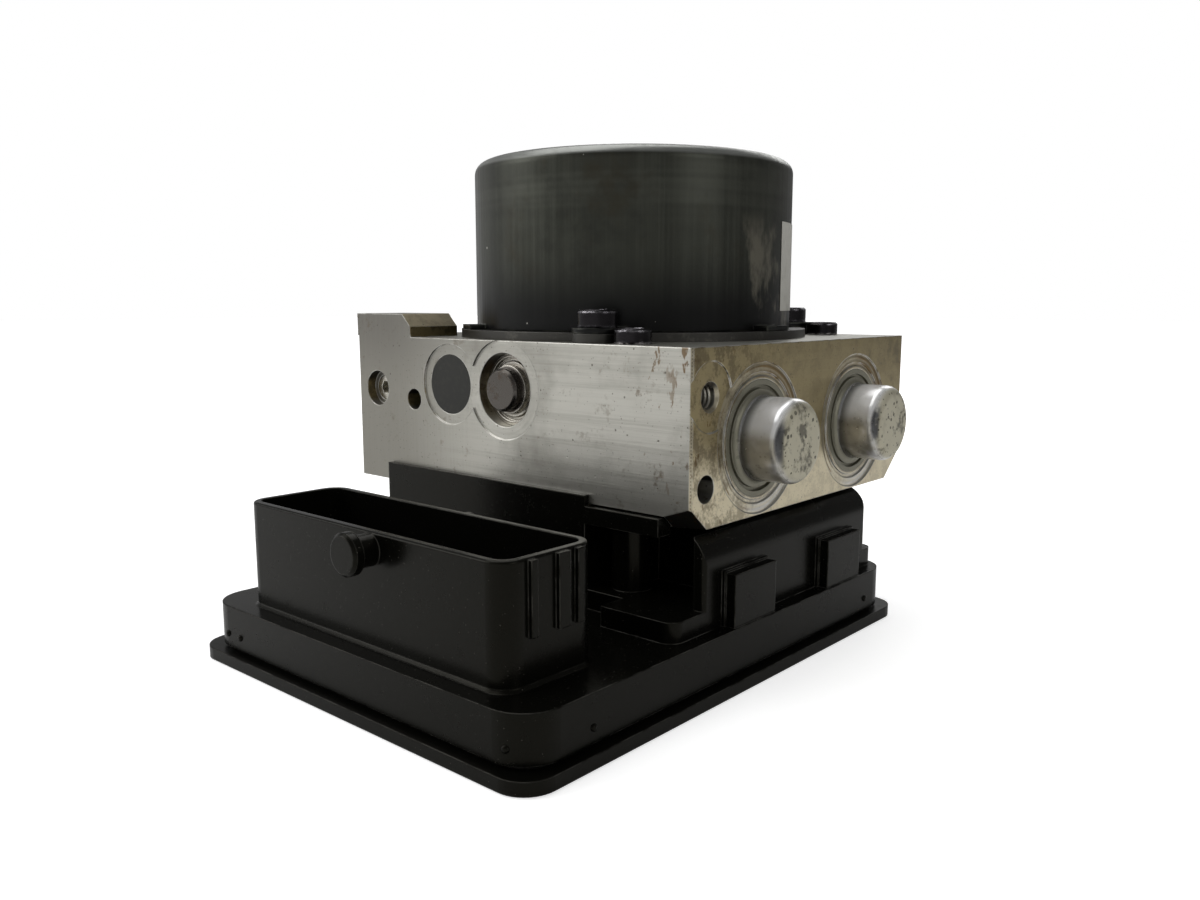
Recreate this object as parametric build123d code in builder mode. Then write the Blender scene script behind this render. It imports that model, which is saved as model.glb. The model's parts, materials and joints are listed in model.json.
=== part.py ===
from build123d import *
from math import cos, radians
import os

os.makedirs("parts", exist_ok=True)

# Every length is in millimetres and every angle in degrees.
# The unit stands on its electronics cover. The origin is where the motor's axis meets the underside of that
# cover, +Z points up along the axis and +X points out of the face with the two accumulator caps.
# The electrical connector stands on the -Y side.

# Fits and clearances
run_fit = 0.03
slip = 0.15
ease = 0.3

# Levels, from the underside of the cover upwards
cover_height = 2.6
skirt_height = 10.0
chamber_height = 20.1
block_height = 36.6

# Electronics cover and skirt, as distances from the motor's axis
skirt_left = 41.5
skirt_right = 59.0
skirt_front = 97.8
skirt_rear = 30.2
skirt_corner = 8.0
lip_width = 2.0
lip_corner = 6.5
cover_floor = 2.0
cover_rim = 2.0
skirt_wall = 2.5
deck = 2.5
shadow_gap = 0.8
shadow_depth = 1.2

# Coil chamber between the skirt and the valve block
chamber_right = 55.5
chamber_overhang = 22.6
chamber_roll = 6.5
chamber_wall = 4.2
chamber_corner = 1.0
side_wall = 3.2
lap_width = 1.5
lap_height = 4.6
seal_inset = 1.9
seal_width = 1.2
seal_height = 1.5
alcove_width = 29.2
alcove_depth = 16.5
alcove_end = 3.0
ledge_height = 4.3
ledge_length = 18.5
ledge_front = 54.8
ledge_rear = 28.7
ledge_corner = 3.0
pad_width = 16.4
pad_height = 11.7
pad_proud = 3.0
pad_edge = 0.5
pad_base = 0.8
pad_places = (-30.5, 7.6)

# Screw columns that hold the electronics to the valve block
column_radius = 4.35
column_web = 1.2
ear_height = 10.0
low_screw_edge = 6.3
low_screw_gap = 0.4

# Connector shroud
shroud_left = 31.5
shroud_right = 49.5
shroud_front = 93.3
shroud_depth = 23.5
shroud_height = 22.9
shroud_wall = 1.6
shroud_corner = 4.5
shroud_foot = 0.6
shroud_rim = 0.5
stud_x = 13.0
stud_drop = 3.5
stud_radius = 4.2
stud_head = 2.2
stud_stalk_radius = 3.2
stud_reach = 6.2
stud_edge = 0.6
stub_reach = 1.5
key_height = 13.7
key_drop = 0.3
key_proud = 0.9
keys = {-5.2: 1.6, 2.2: 2.9, 6.4: 1.6}

# Circuit board and what is on it
board_thickness = 1.6
board_drop = 2.3
board_gap = 1.5
board_corner = 4.0
post_radius = 2.5
post_inset = 6.0
chip_height = 1.8
processor_size = 20.0
processor_place = (-14.0, -30.0)
driver_size = 14.0
driver_place = (18.0, -30.0)
transistor_size = 9.5
transistor_spacing = 13.0
transistor_place = (30.0, -62.0)
capacitor_radius = 6.0
capacitor_height = 19.0
capacitor_spacing = 15.0
capacitor_x = 34.0
capacitor_edge = 0.8

# Connector contacts
pin_size = 0.64
pin_spacing = 3.6
pin_columns = 14
pin_rows = 3
pin_row_spacing = 5.0
pin_height = 11.0
pin_x = 18.0
blade_width = 4.8
blade_thickness = 0.8
blade_spacing = 7.5
blade_x = -20.0

# Valve block, as distances from the motor's axis
block_right = 53.0
block_left = 54.9
block_depth = 92.6
block_edge = 0.5
lug_length = 21.8
lug_depth = 15.2
lug_height = 5.7
lug_chamfer = 3.2
step_height = 2.6
step_depth = 3.0
step_end = 6.6
bar_height = 3.8
bevel_rises = {-1: 4.9, 1: 6.7}
bevel_lean = 0.25
bevel_out = 0.64
bevel_down = 0.73

# Solenoid valves and their coils
valve_radius = 5.0
valve_flange = 6.2
valve_flange_height = 0.9
valve_depth = 11.3
inlet_nose_radius = 3.0
inlet_nose = 3.2
outlet_nose_radius = 2.2
outlet_nose = 2.4
dome_radius = 3.6
dome_length = 17.5
dome_round = 1.2
coil_spacing_x = 19.0
coil_room = 0.8
coil_side_room = 1.0
winding_radius = 7.4
bobbin_flange = 1.0
yoke_radius = 8.8
yoke_wall = 0.8
yoke_height = 19.0
terminal_size = 0.8
terminal_spread = 5.0

# Return pump, measured outwards from the motor's axis
pump_drop = 11.2
eccentric_offset = 1.0
eccentric_radius = 6.4
eccentric_height = 7.6
ring_radius = 10.5
ring_height = 7.0
pump_room = 0.5
piston_radius = 3.0
piston_length = 17.0
piston_head_radius = 4.1
piston_head = 2.0
guide_start = 19.5
guide_length = 9.0
sleeve_radius = 7.0
sleeve_end = 40.8
sleeve_room = 4.6
sleeve_floor = 2.8
outlet_radius = 1.0
plug_radius = 8.45
plug_disc = 2.4
plug_pin_radius = 4.95
plug_pin_proud = 1.0
plug_pin_edge = 0.6
plug_collar_radius = 5.6
plug_collar = 1.5
plug_groove_inner = 6.4
plug_groove_outer = 7.4
plug_groove = 0.8
pump_ring_radius = 11.4
spotface = 0.4

# Low pressure accumulators, measured from the right face
store_spread = 21.2
store_drop = 20.0
store_radius = 9.0
store_depth = 22.5
store_ring = 16.2
seat_ring_outer = 14.1
seat_ring_inner = 13.3
seat_ring_depth = 0.4
store_seat_radius = 12.6
store_seat_depth = 2.2
cap_radius = 9.0
cap_wall = 1.4
cap_proud = 10.1
cap_flange = 1.8
cap_round = 2.6
cap_flare = 1.3
cap_groove_outer = 11.4
cap_groove_inner = 10.6
cap_groove = 0.8
store_piston_length = 9.0
store_piston_floor = 5.0
store_piston_bore = 6.4
seal_groove_start = 1.3
seal_groove_width = 2.2
seal_groove_depth = 2.0

# Helical springs
store_wire = 1.6
store_turns = 4.5
store_spring_radius = 4.8
pump_wire = 0.8
pump_turns = 4.5
pump_spring_radius = 3.6

# Damper chambers
damper_front_x = -18.6
damper_rear_x = -22.5
damper_drop = 10.9
damper_radius = 7.15
damper_ring = 9.65
damper_depth = 19.0
damper_plug = 4.0

# Bleed screw and pilot hole of the front face
bleed_x = -46.9
bleed_drop = 13.3
bleed_radius = 4.45
bleed_recess = 2.5
bleed_screw_radius = 3.2
bleed_screw_length = 5.0
bleed_hole = 6.0
bleed_socket = 1.7
bleed_socket_depth = 2.0
pilot_x = -32.1
pilot_drop = 15.3
pilot_radius = 2.6
pilot_depth = 12.0

# Bracket holes
bracket_edge = 6.6
bracket_drop = 10.0
bracket_radius = 2.5
bracket_mouth = 3.15
bracket_ring = 7.2
bracket_depth = 13.0
dowel_edge = 5.0
dowel_drop = 28.3
dowel_radius = 2.85
dowel_depth = 10.0
left_bracket_edge = 5.8
left_bracket_drop = 29.8

# Brake pipe ports
pipe_radius = 4.5
pipe_depth = 12.0
pipe_spot = 8.5
pipe_spacing = 20.0
pipe_first = -31.5
pipe_count = 4
feed_radius = 5.5
feed_depth = 11.0
feed_drill = 1.2
feed_spot = 9.0
feed_places = (-43.0, 22.0)
port_drop = 18.3
drill_radius = 1.5
drill_length = 3.5

# Motor housing
motor_radius = 40.0
can_height = 40.7
can_wall = 2.0
can_round = 3.0
can_flange = 1.2
plate_thickness = 2.0
plate_rim = 4.0
tab_rim = 3.6
tab_width = 9.0
ear_radius = 5.6
tall_screw_gap = 1.65
tall_screw_angle = 60.0
tall_screw_count = 3
boss_radius = 12.0
boss_rise = 2.5
boss_round = 1.0
cup_wall = 2.0
cup_depth = 2.5

# Motor feed through the block
motor_feed_x = -29.0
motor_feed_y = 8.0
motor_leg_radius = 3.8
motor_leg_drop = 4.7
motor_pin_radius = 0.9
motor_pin_spread = 2.0

# Motor inside
magnet_thickness = 7.0
magnet_gap = 0.7
magnet_space = 12.0
magnet_count = 4
magnet_overhang = 2.0
core_length = 15.0
core_base = 15.2
core_teeth = 12
slot_lip = 3.3
slot_width = 6.0
slot_floor = 16.0
slot_mouth = 2.2
winding_overhang = 4.0
commutator_radius = 9.0
commutator_length = 9.0
commutator_base = 3.0
commutator_bars = 12
bar_slot = 0.5
bar_slot_depth = 1.0
shaft_radius = 5.0
journal_radius = 3.0
front_bearing_radius = 13.0
front_bearing_width = 8.0
front_bearing_seat = 7.2
rear_bearing_radius = 9.5
rear_bearing_width = 6.0
shield_inset = 1.8
shield_depth = 0.5
brush_plate_gap = 1.0
brush_plate_bore = 10.0
brush_plate = 3.0
brush_length = 11.0
brush_width = 6.0
brush_height = 5.0
brush_gap = 0.1
brush_guide_wall = 1.2
brush_guide_length = 14.0
brush_guide_room = 1.2

# Screws
tall_head_radius = 4.35
tall_head = 3.9
tall_shank_radius = 2.5
tall_shank = 14.0
low_head_radius = 4.0
low_head = 3.3
low_shank_radius = 2.2
low_shank_bite = 8.0
thread_room = 1.0
head_edge = 0.5
socket_depth = 2.0
socket_radius = 2.2

# Levels and faces that follow from the sizes above
skirt_top = cover_height + skirt_height
block_bottom = skirt_top + chamber_height
block_top = block_bottom + block_height
block_front = block_depth / 2
block_length = block_left + block_right
skirt_x = (skirt_right - skirt_left) / 2
skirt_y = (skirt_rear - skirt_front) / 2
skirt_length = skirt_left + skirt_right
skirt_width = skirt_front + skirt_rear
deck_bottom = skirt_top - deck
board_top = deck_bottom - board_drop
board_bottom = board_top - board_thickness
ledge_top = skirt_top + ledge_height
plate_top = block_top + plate_thickness
can_top = plate_top + can_height
pump_level = block_top - pump_drop
store_level = block_top - store_drop
chamber_front = block_front + lap_width
chamber_rear = block_front - chamber_overhang
chamber_end = chamber_front - alcove_end
alcove_left = chamber_right - alcove_width
alcove_back = chamber_front - alcove_depth
shroud_top = skirt_top + shroud_height
shroud_x = (shroud_right - shroud_left) / 2
shroud_y = shroud_depth / 2 - shroud_front
shroud_length = shroud_left + shroud_right
plate_radius = motor_radius + plate_rim
tab_radius = motor_radius + tab_rim
tall_screw_circle = motor_radius + tall_screw_gap + tall_head_radius
step_right = block_right - step_end
tall_screw_x = tall_screw_circle * cos(radians(tall_screw_angle))
low_screw_x = tall_screw_x + ear_radius + low_head_radius + low_screw_gap
low_screw_y = block_front - low_screw_edge
low_screws = ((low_screw_x, -low_screw_y), (low_screw_x, low_screw_y), (-low_screw_x, low_screw_y))
ear_root = low_screw_y - chamber_rear + column_radius
bracket_y = bracket_edge - block_front
dowel_y = dowel_edge - block_front
left_bracket_y = block_front - left_bracket_edge
coil_left = skirt_left - chamber_wall - yoke_radius - coil_side_room
coil_front = chamber_front - chamber_wall - yoke_radius - coil_room
coil_spacing_y = (coil_front + chamber_rear - chamber_wall - yoke_radius - coil_room) / 2
motor_feed = (motor_feed_x, motor_feed_y)
bearing_bottom = block_top - front_bearing_seat
ring_reach = ring_radius + eccentric_offset
crank_radius = ring_reach + pump_room
crank_floor = pump_level - eccentric_height / 2 - pump_room

# Faces of the block: on each, the first direction is level and the second one points up
front_face = Plane(origin=(0, -block_front, block_top), x_dir=(1, 0, 0), z_dir=(0, -1, 0))
rear_face = Plane(origin=(0, block_front, block_top), x_dir=(-1, 0, 0), z_dir=(0, 1, 0))
right_face = Plane(origin=(block_right, 0, block_top), x_dir=(0, 1, 0), z_dir=(1, 0, 0))
left_face = Plane(origin=(-block_left, 0, block_top), x_dir=(0, -1, 0), z_dir=(-1, 0, 0))
top_face = Plane(origin=(0, 0, block_top), x_dir=(1, 0, 0), z_dir=(0, 0, 1))
under_face = Plane(origin=(0, 0, block_bottom), x_dir=(1, 0, 0), z_dir=(0, 0, -1))

# The two sides of the pump and the two accumulators
pump_sides = {"front": (0, -1, 0), "rear": (0, 1, 0)}
store_sides = {"front": -store_spread, "rear": store_spread}

# Three rows of inlet and outlet valves, on a grid that clears the alcove and the accumulators
valve_grid = {
    "inlet_1": (0, 0),
    "inlet_2": (1, 0),
    "inlet_3": (2, 0),
    "outlet_1": (0, 1),
    "outlet_2": (1, 1),
    "outlet_3": (2, 1),
    "inlet_4": (1, 2),
    "outlet_4": (2, 2),
}
valve_places = {
    name: (column * coil_spacing_x - coil_left, row * coil_spacing_y - coil_front)
    for name, (column, row) in valve_grid.items()
}

pieces = []


def keep(piece, name):
    # Gives a finished piece its name and lists it for writing.
    piece.part.label = name
    pieces.append(piece.part)


def turned(foot, along, outline):
    # A solid of revolution about the line from foot. The outline holds (distance along, radius) pairs.
    line = Vector(*along)
    side = Vector(0, 0, 1).cross(line)
    if not side.length:
        side = Vector(0, 1, 0)
    with BuildPart() as piece:
        with BuildSketch(Plane(origin=foot, x_dir=line, z_dir=line.cross(side))):
            with BuildLine():
                Polyline(*outline, close=True)
            make_face()
        revolve(axis=Axis(foot, along))
    return piece


def wire_spring(foot, along, start, length, radius, wire, turns):
    # A compression spring of square wire about a line, between two distances from its foot.
    base = Vector(*foot) + Vector(*along) * (start + wire / 2)
    coil = Helix((length - wire) / turns, length - wire, radius, base, along, mode=Mode.PRIVATE)
    with BuildPart() as spring:
        with BuildLine() as path:
            add(coil)
        with BuildSketch(Plane(origin=path.line @ 0, x_dir=along, z_dir=path.line % 0)):
            Rectangle(wire, wire)
        sweep(is_frenet=True)
    return spring


def chamber_line(inset):
    # The line that the seal follows round the coil chamber, moved inwards.
    left, front, rear = skirt_left - inset, chamber_front - inset, chamber_rear - inset
    right, back, notch = chamber_right - chamber_roll - inset, alcove_back - inset, alcove_left - inset
    return [(-left, -front), (notch, -front), (notch, -back), (right, -back), (right, rear), (-left, rear)]


# Electronics cover: a plate with a proud lip and a tongue that locates inside the skirt
tongue = skirt_wall + slip
tongue_inner = tongue + cover_rim
with BuildPart() as ecu_cover:
    with BuildSketch(Plane.XY):
        with Locations((skirt_x, skirt_y)):
            RectangleRounded(
                skirt_length + 2 * lip_width, skirt_width + 2 * lip_width, lip_corner
            )
    extrude(amount=cover_height)
    with BuildSketch(Plane.XY.offset(cover_height)):
        with Locations((skirt_x, skirt_y)):
            RectangleRounded(skirt_length - 2 * tongue, skirt_width - 2 * tongue, skirt_corner - tongue)
    extrude(amount=cover_rim)
    with BuildSketch(Plane.XY.offset(cover_floor)):
        with Locations((skirt_x, skirt_y)):
            RectangleRounded(
                skirt_length - 2 * tongue_inner, skirt_width - 2 * tongue_inner, skirt_corner - tongue_inner
            )
    extrude(amount=cover_height + cover_rim - cover_floor, mode=Mode.SUBTRACT)
keep(ecu_cover, "ecu_cover")

# Electronics housing: skirt, deck, coil chamber, ledge, pads, connector shroud and screw columns
shroud_end_plane = Plane(origin=(shroud_right, shroud_y, shroud_top), x_dir=(0, 1, 0), z_dir=(1, 0, 0))
pad_plane = Plane(origin=(chamber_right, 0, skirt_top), x_dir=(0, 1, 0), z_dir=(1, 0, 0))
with BuildPart() as ecu_housing:
    # skirt, with a rebate over the cover's lip
    with BuildSketch(Plane.XY.offset(cover_height)):
        with Locations((skirt_x, skirt_y)):
            RectangleRounded(
                skirt_length - 2 * shadow_depth, skirt_width - 2 * shadow_depth, skirt_corner - shadow_depth
            )
    extrude(amount=shadow_gap)
    with BuildSketch(Plane.XY.offset(cover_height + shadow_gap)):
        with Locations((skirt_x, skirt_y)):
            RectangleRounded(skirt_length, skirt_width, skirt_corner)
    extrude(amount=skirt_height - shadow_gap)
    # ledge along the right side and the floor of the alcove
    with BuildSketch(Plane.XY.offset(skirt_top)) as ledge:
        with Locations((chamber_right, -ledge_front)):
            Rectangle(ledge_length, ledge_front + ledge_rear, align=(Align.MAX, Align.MIN))
        fillet(ledge.vertices().group_by(Axis.X)[-1], ledge_corner)
        with Locations((chamber_right, -chamber_front)):
            Rectangle(alcove_width, alcove_depth, align=(Align.MAX, Align.MIN))
    extrude(amount=ledge_height)
    # outside of the coil chamber, whose right wall runs forward past the alcove
    with BuildSketch(Plane.XY.offset(skirt_top)) as walls:
        with BuildLine():
            Polyline(
                (-skirt_left, -chamber_front),
                (alcove_left, -chamber_front),
                (alcove_left, -alcove_back),
                (chamber_right - side_wall, -alcove_back),
                (chamber_right - side_wall, -chamber_end),
                (chamber_right, -chamber_end),
                (chamber_right, chamber_rear),
                (-skirt_left, chamber_rear),
                close=True,
            )
        make_face()
        rows = walls.vertices().group_by(Axis.Y)
        fillet(rows[1:2] + rows[-1], chamber_corner)
    extrude(amount=chamber_height)
    # the right wall rolls in under the block
    with BuildSketch(Plane.XZ) as roll:
        with Locations((chamber_right - chamber_roll, block_bottom - chamber_roll)):
            Rectangle(chamber_roll, chamber_roll, align=(Align.MIN, Align.MIN))
            Circle(chamber_roll, mode=Mode.SUBTRACT)
    extrude(amount=chamber_front, both=True, mode=Mode.SUBTRACT)
    # lap of the front wall over the block's face
    with BuildSketch(Plane.XY.offset(block_bottom)):
        with Locations((-skirt_left, -chamber_front)):
            Rectangle(skirt_left + alcove_left, lap_width - slip, align=(Align.MIN, Align.MIN))
    extrude(amount=lap_height)
    # bar that fills the step in the block's edge over the alcove
    with BuildSketch(Plane.XY.offset(block_bottom + step_height - ease)):
        with Locations((alcove_left, -chamber_front)):
            Rectangle(
                step_right - ease - alcove_left, lap_width + step_depth - ease, align=(Align.MIN, Align.MIN)
            )
    extrude(amount=-bar_height)
    # rear ears and their screw columns, and the column in the alcove with its web
    with BuildSketch(Plane.XY.offset(block_bottom)):
        for x, y in low_screws[1:]:
            with Locations((x, y)):
                Rectangle(2 * column_radius, ear_root, align=(Align.CENTER, Align.MAX))
        with Locations(*low_screws[1:]):
            Circle(column_radius)
    extrude(amount=-ear_height)
    with BuildSketch(Plane.XY.offset(ledge_top)):
        with Locations(low_screws[0]):
            Circle(column_radius)
            Rectangle(column_web, low_screw_y - alcove_back, align=(Align.CENTER, Align.MIN))
    extrude(amount=block_bottom - ledge_top)
    # connector shroud on a splayed foot
    with BuildSketch(Plane.XY.offset(skirt_top)):
        with Locations((shroud_x, shroud_y)):
            RectangleRounded(shroud_length + 2 * shroud_foot, shroud_depth + 2 * shroud_foot,
                             shroud_corner + shroud_foot)
    extrude(amount=shroud_foot, taper=45)
    with BuildSketch(Plane.XY.offset(skirt_top)):
        with Locations((shroud_x, shroud_y)):
            RectangleRounded(shroud_length, shroud_depth, shroud_corner)
    extrude(amount=shroud_height)
    fillet(ecu_housing.faces().filter_by_position(Axis.Z, shroud_top, shroud_top).edges(), shroud_rim)
    # lever stud on the front wall, its stub on the rear wall, keys on the end wall
    stud = turned(
        (stud_x, -shroud_front, shroud_top - stud_drop),
        (0, -1, 0),
        (
            (0, 0),
            (0, stud_stalk_radius),
            (stud_reach - stud_head, stud_stalk_radius),
            (stud_reach - stud_head, stud_radius),
            (stud_reach - stud_edge, stud_radius),
            (stud_reach, stud_radius - stud_edge),
            (stud_reach, 0),
        ),
    )
    add(stud.part)
    stub_place = (stud_x, shroud_depth - shroud_front, shroud_top - stud_drop)
    with BuildSketch(Plane(origin=stub_place, z_dir=(0, 1, 0))):
        Circle(stud_stalk_radius)
    extrude(amount=stub_reach)
    with BuildSketch(shroud_end_plane):
        for y, width in keys.items():
            with Locations((y, -key_drop)):
                Rectangle(width, key_height, align=(Align.CENTER, Align.MAX))
    extrude(amount=key_proud)
    # stepped pads on the right wall
    for layer, proud in enumerate((pad_base, pad_proud)):
        with BuildSketch(pad_plane):
            for y in pad_places:
                with Locations((y, 0)):
                    Rectangle(
                        pad_width - 2 * layer * pad_edge,
                        pad_height - layer * pad_edge,
                        align=(Align.CENTER, Align.MIN),
                    )
        extrude(amount=proud)
    # inside of the shroud, the chamber and the skirt
    with BuildSketch(Plane.XY.offset(skirt_top)):
        with Locations((shroud_x, shroud_y)):
            RectangleRounded(
                shroud_length - 2 * shroud_wall, shroud_depth - 2 * shroud_wall, shroud_corner - shroud_wall
            )
    extrude(amount=shroud_height, mode=Mode.SUBTRACT)
    with BuildSketch(Plane.XY.offset(skirt_top)):
        with BuildLine():
            Polyline(*chamber_line(chamber_wall), close=True)
        make_face()
    extrude(amount=chamber_height, mode=Mode.SUBTRACT)
    with BuildSketch(Plane.XY.offset(cover_height)):
        with Locations((skirt_x, skirt_y)):
            RectangleRounded(
                skirt_length - 2 * skirt_wall, skirt_width - 2 * skirt_wall, skirt_corner - skirt_wall
            )
    extrude(amount=deck_bottom - cover_height, mode=Mode.SUBTRACT)
    # seal groove round the top of the chamber
    with BuildSketch(Plane.XY.offset(block_bottom)):
        with BuildLine():
            Polyline(*chamber_line(seal_inset), close=True)
        make_face()
        with BuildLine():
            Polyline(*chamber_line(seal_inset + seal_width), close=True)
        make_face(mode=Mode.SUBTRACT)
    extrude(amount=-seal_height, mode=Mode.SUBTRACT)
    # posts that carry the board
    post_edge = skirt_wall + post_inset
    with BuildSketch(Plane.XY.offset(board_top)):
        with Locations((skirt_x, skirt_y)):
            with GridLocations(skirt_length - 2 * post_edge, skirt_width - 2 * post_edge, 2, 2):
                Circle(post_radius)
    extrude(amount=board_drop)
    # windows in the deck for the coil terminals, capacitors, motor pins and connector contacts
    with BuildSketch(Plane.XY.offset(deck_bottom)):
        with Locations(*valve_places.values()):
            with GridLocations(2 * terminal_spread, 0, 2, 1):
                Rectangle(terminal_size + 2 * ease, terminal_size + 2 * ease)
        with Locations((capacitor_x, 0)):
            with GridLocations(0, capacitor_spacing, 1, 2):
                Circle(capacitor_radius + ease)
        with Locations(motor_feed):
            with GridLocations(0, 2 * motor_pin_spread, 1, 2):
                Circle(motor_pin_radius + ease)
        with Locations((pin_x, shroud_y)):
            with GridLocations(pin_spacing, pin_row_spacing, pin_columns, pin_rows):
                Rectangle(pin_size, pin_size)
        with Locations((blade_x, shroud_y)):
            with GridLocations(blade_spacing, blade_spacing, 2, 2):
                Rectangle(blade_width, blade_thickness)
    extrude(amount=deck, mode=Mode.SUBTRACT)
    # pilot holes for the screws
    with BuildSketch(Plane.XY.offset(block_bottom)):
        with Locations(*low_screws):
            Circle(low_shank_radius)
    extrude(amount=-low_shank_bite, mode=Mode.SUBTRACT)
keep(ecu_housing, "ecu_housing")

# Seal between the housing and the block
with BuildPart() as housing_seal:
    with BuildSketch(Plane.XY.offset(block_bottom - seal_height)):
        with BuildLine():
            Polyline(*chamber_line(seal_inset), close=True)
        make_face()
        with BuildLine():
            Polyline(*chamber_line(seal_inset + seal_width), close=True)
        make_face(mode=Mode.SUBTRACT)
    extrude(amount=seal_height)
keep(housing_seal, "housing_seal")

# Circuit board and its parts
board_inset = skirt_wall + board_gap
with BuildPart() as circuit_board:
    with BuildSketch(Plane.XY.offset(board_bottom)):
        with Locations((skirt_x, skirt_y)):
            RectangleRounded(skirt_length - 2 * board_inset, skirt_width - 2 * board_inset, board_corner)
    extrude(amount=board_thickness)
keep(circuit_board, "circuit_board")

with BuildPart() as processor:
    with BuildSketch(Plane.XY.offset(board_bottom)):
        with Locations(processor_place):
            Rectangle(processor_size, processor_size)
    extrude(amount=-chip_height)
keep(processor, "processor")

with BuildPart() as valve_driver:
    with BuildSketch(Plane.XY.offset(board_bottom)):
        with Locations(driver_place):
            Rectangle(driver_size, driver_size)
    extrude(amount=-chip_height)
keep(valve_driver, "valve_driver")

with BuildPart() as power_transistors:
    with BuildSketch(Plane.XY.offset(board_bottom)):
        with Locations(transistor_place):
            with GridLocations(transistor_spacing, 0, 2, 1):
                Rectangle(transistor_size, transistor_size)
    extrude(amount=-chip_height)
keep(power_transistors, "power_transistors")

with BuildPart() as board_capacitors:
    with BuildSketch(Plane.XY.offset(board_top)):
        with Locations((capacitor_x, 0)):
            with GridLocations(0, capacitor_spacing, 1, 2):
                Circle(capacitor_radius)
    extrude(amount=capacitor_height)
    chamfer(board_capacitors.edges().group_by(Axis.Z)[-1], capacitor_edge)
keep(board_capacitors, "board_capacitors")

with BuildPart() as connector_pins:
    with BuildSketch(Plane.XY.offset(board_top)):
        with Locations((pin_x, shroud_y)):
            with GridLocations(pin_spacing, pin_row_spacing, pin_columns, pin_rows):
                Rectangle(pin_size, pin_size)
        with Locations((blade_x, shroud_y)):
            with GridLocations(blade_spacing, blade_spacing, 2, 2):
                Rectangle(blade_width, blade_thickness)
    extrude(amount=skirt_top - board_top + pin_height)
keep(connector_pins, "connector_pins")

# Valves: a cartridge staked into the block, with a closed dome that stands in its coil
for name, (x, y) in valve_places.items():
    nose_radius, nose = (inlet_nose_radius, inlet_nose) if name.startswith("inlet") else (
        outlet_nose_radius,
        outlet_nose,
    )
    valve = turned(
        (x, y, block_bottom),
        (0, 0, 1),
        (
            (-dome_length, 0),
            (-dome_length, dome_radius - dome_round),
            (dome_round - dome_length, dome_radius),
            (0, dome_radius),
            (0, valve_flange),
            (valve_flange_height, valve_flange),
            (valve_flange_height, valve_radius),
            (valve_depth, valve_radius),
            (valve_depth, nose_radius),
            (valve_depth + nose, nose_radius),
            (valve_depth + nose, 0),
        ),
    )
    keep(valve, name.replace("let_", "let_valve_"))

# Coils: a wound bobbin with two terminals that reach down to the board, inside a steel yoke
coil_height = yoke_height - yoke_wall - slip
bobbin_bore = dome_radius + ease
bobbin_radius = yoke_radius - yoke_wall - slip
for name, (x, y) in valve_places.items():
    bobbin = turned(
        (x, y, skirt_top),
        (0, 0, 1),
        (
            (0, bobbin_bore),
            (0, bobbin_radius),
            (bobbin_flange, bobbin_radius),
            (bobbin_flange, winding_radius),
            (coil_height - bobbin_flange, winding_radius),
            (coil_height - bobbin_flange, bobbin_radius),
            (coil_height, bobbin_radius),
            (coil_height, bobbin_bore),
        ),
    )
    with BuildPart() as coil:
        add(bobbin.part)
        with BuildSketch(Plane.XY.offset(board_top)):
            with Locations((x, y)):
                with GridLocations(2 * terminal_spread, 0, 2, 1):
                    Rectangle(terminal_size, terminal_size)
        extrude(amount=skirt_top - board_top + bobbin_flange / 2)
    keep(coil, name.replace("let_", "let_coil_"))

with BuildPart() as coil_yokes:
    for x, y in valve_places.values():
        yoke = turned(
            (x, y, skirt_top),
            (0, 0, 1),
            (
                (0, yoke_radius - yoke_wall),
                (0, yoke_radius),
                (yoke_height, yoke_radius),
                (yoke_height, bobbin_bore),
                (yoke_height - yoke_wall, bobbin_bore),
                (yoke_height - yoke_wall, yoke_radius - yoke_wall),
            ),
        )
        add(yoke.part)
keep(coil_yokes, "coil_yokes")

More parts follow.
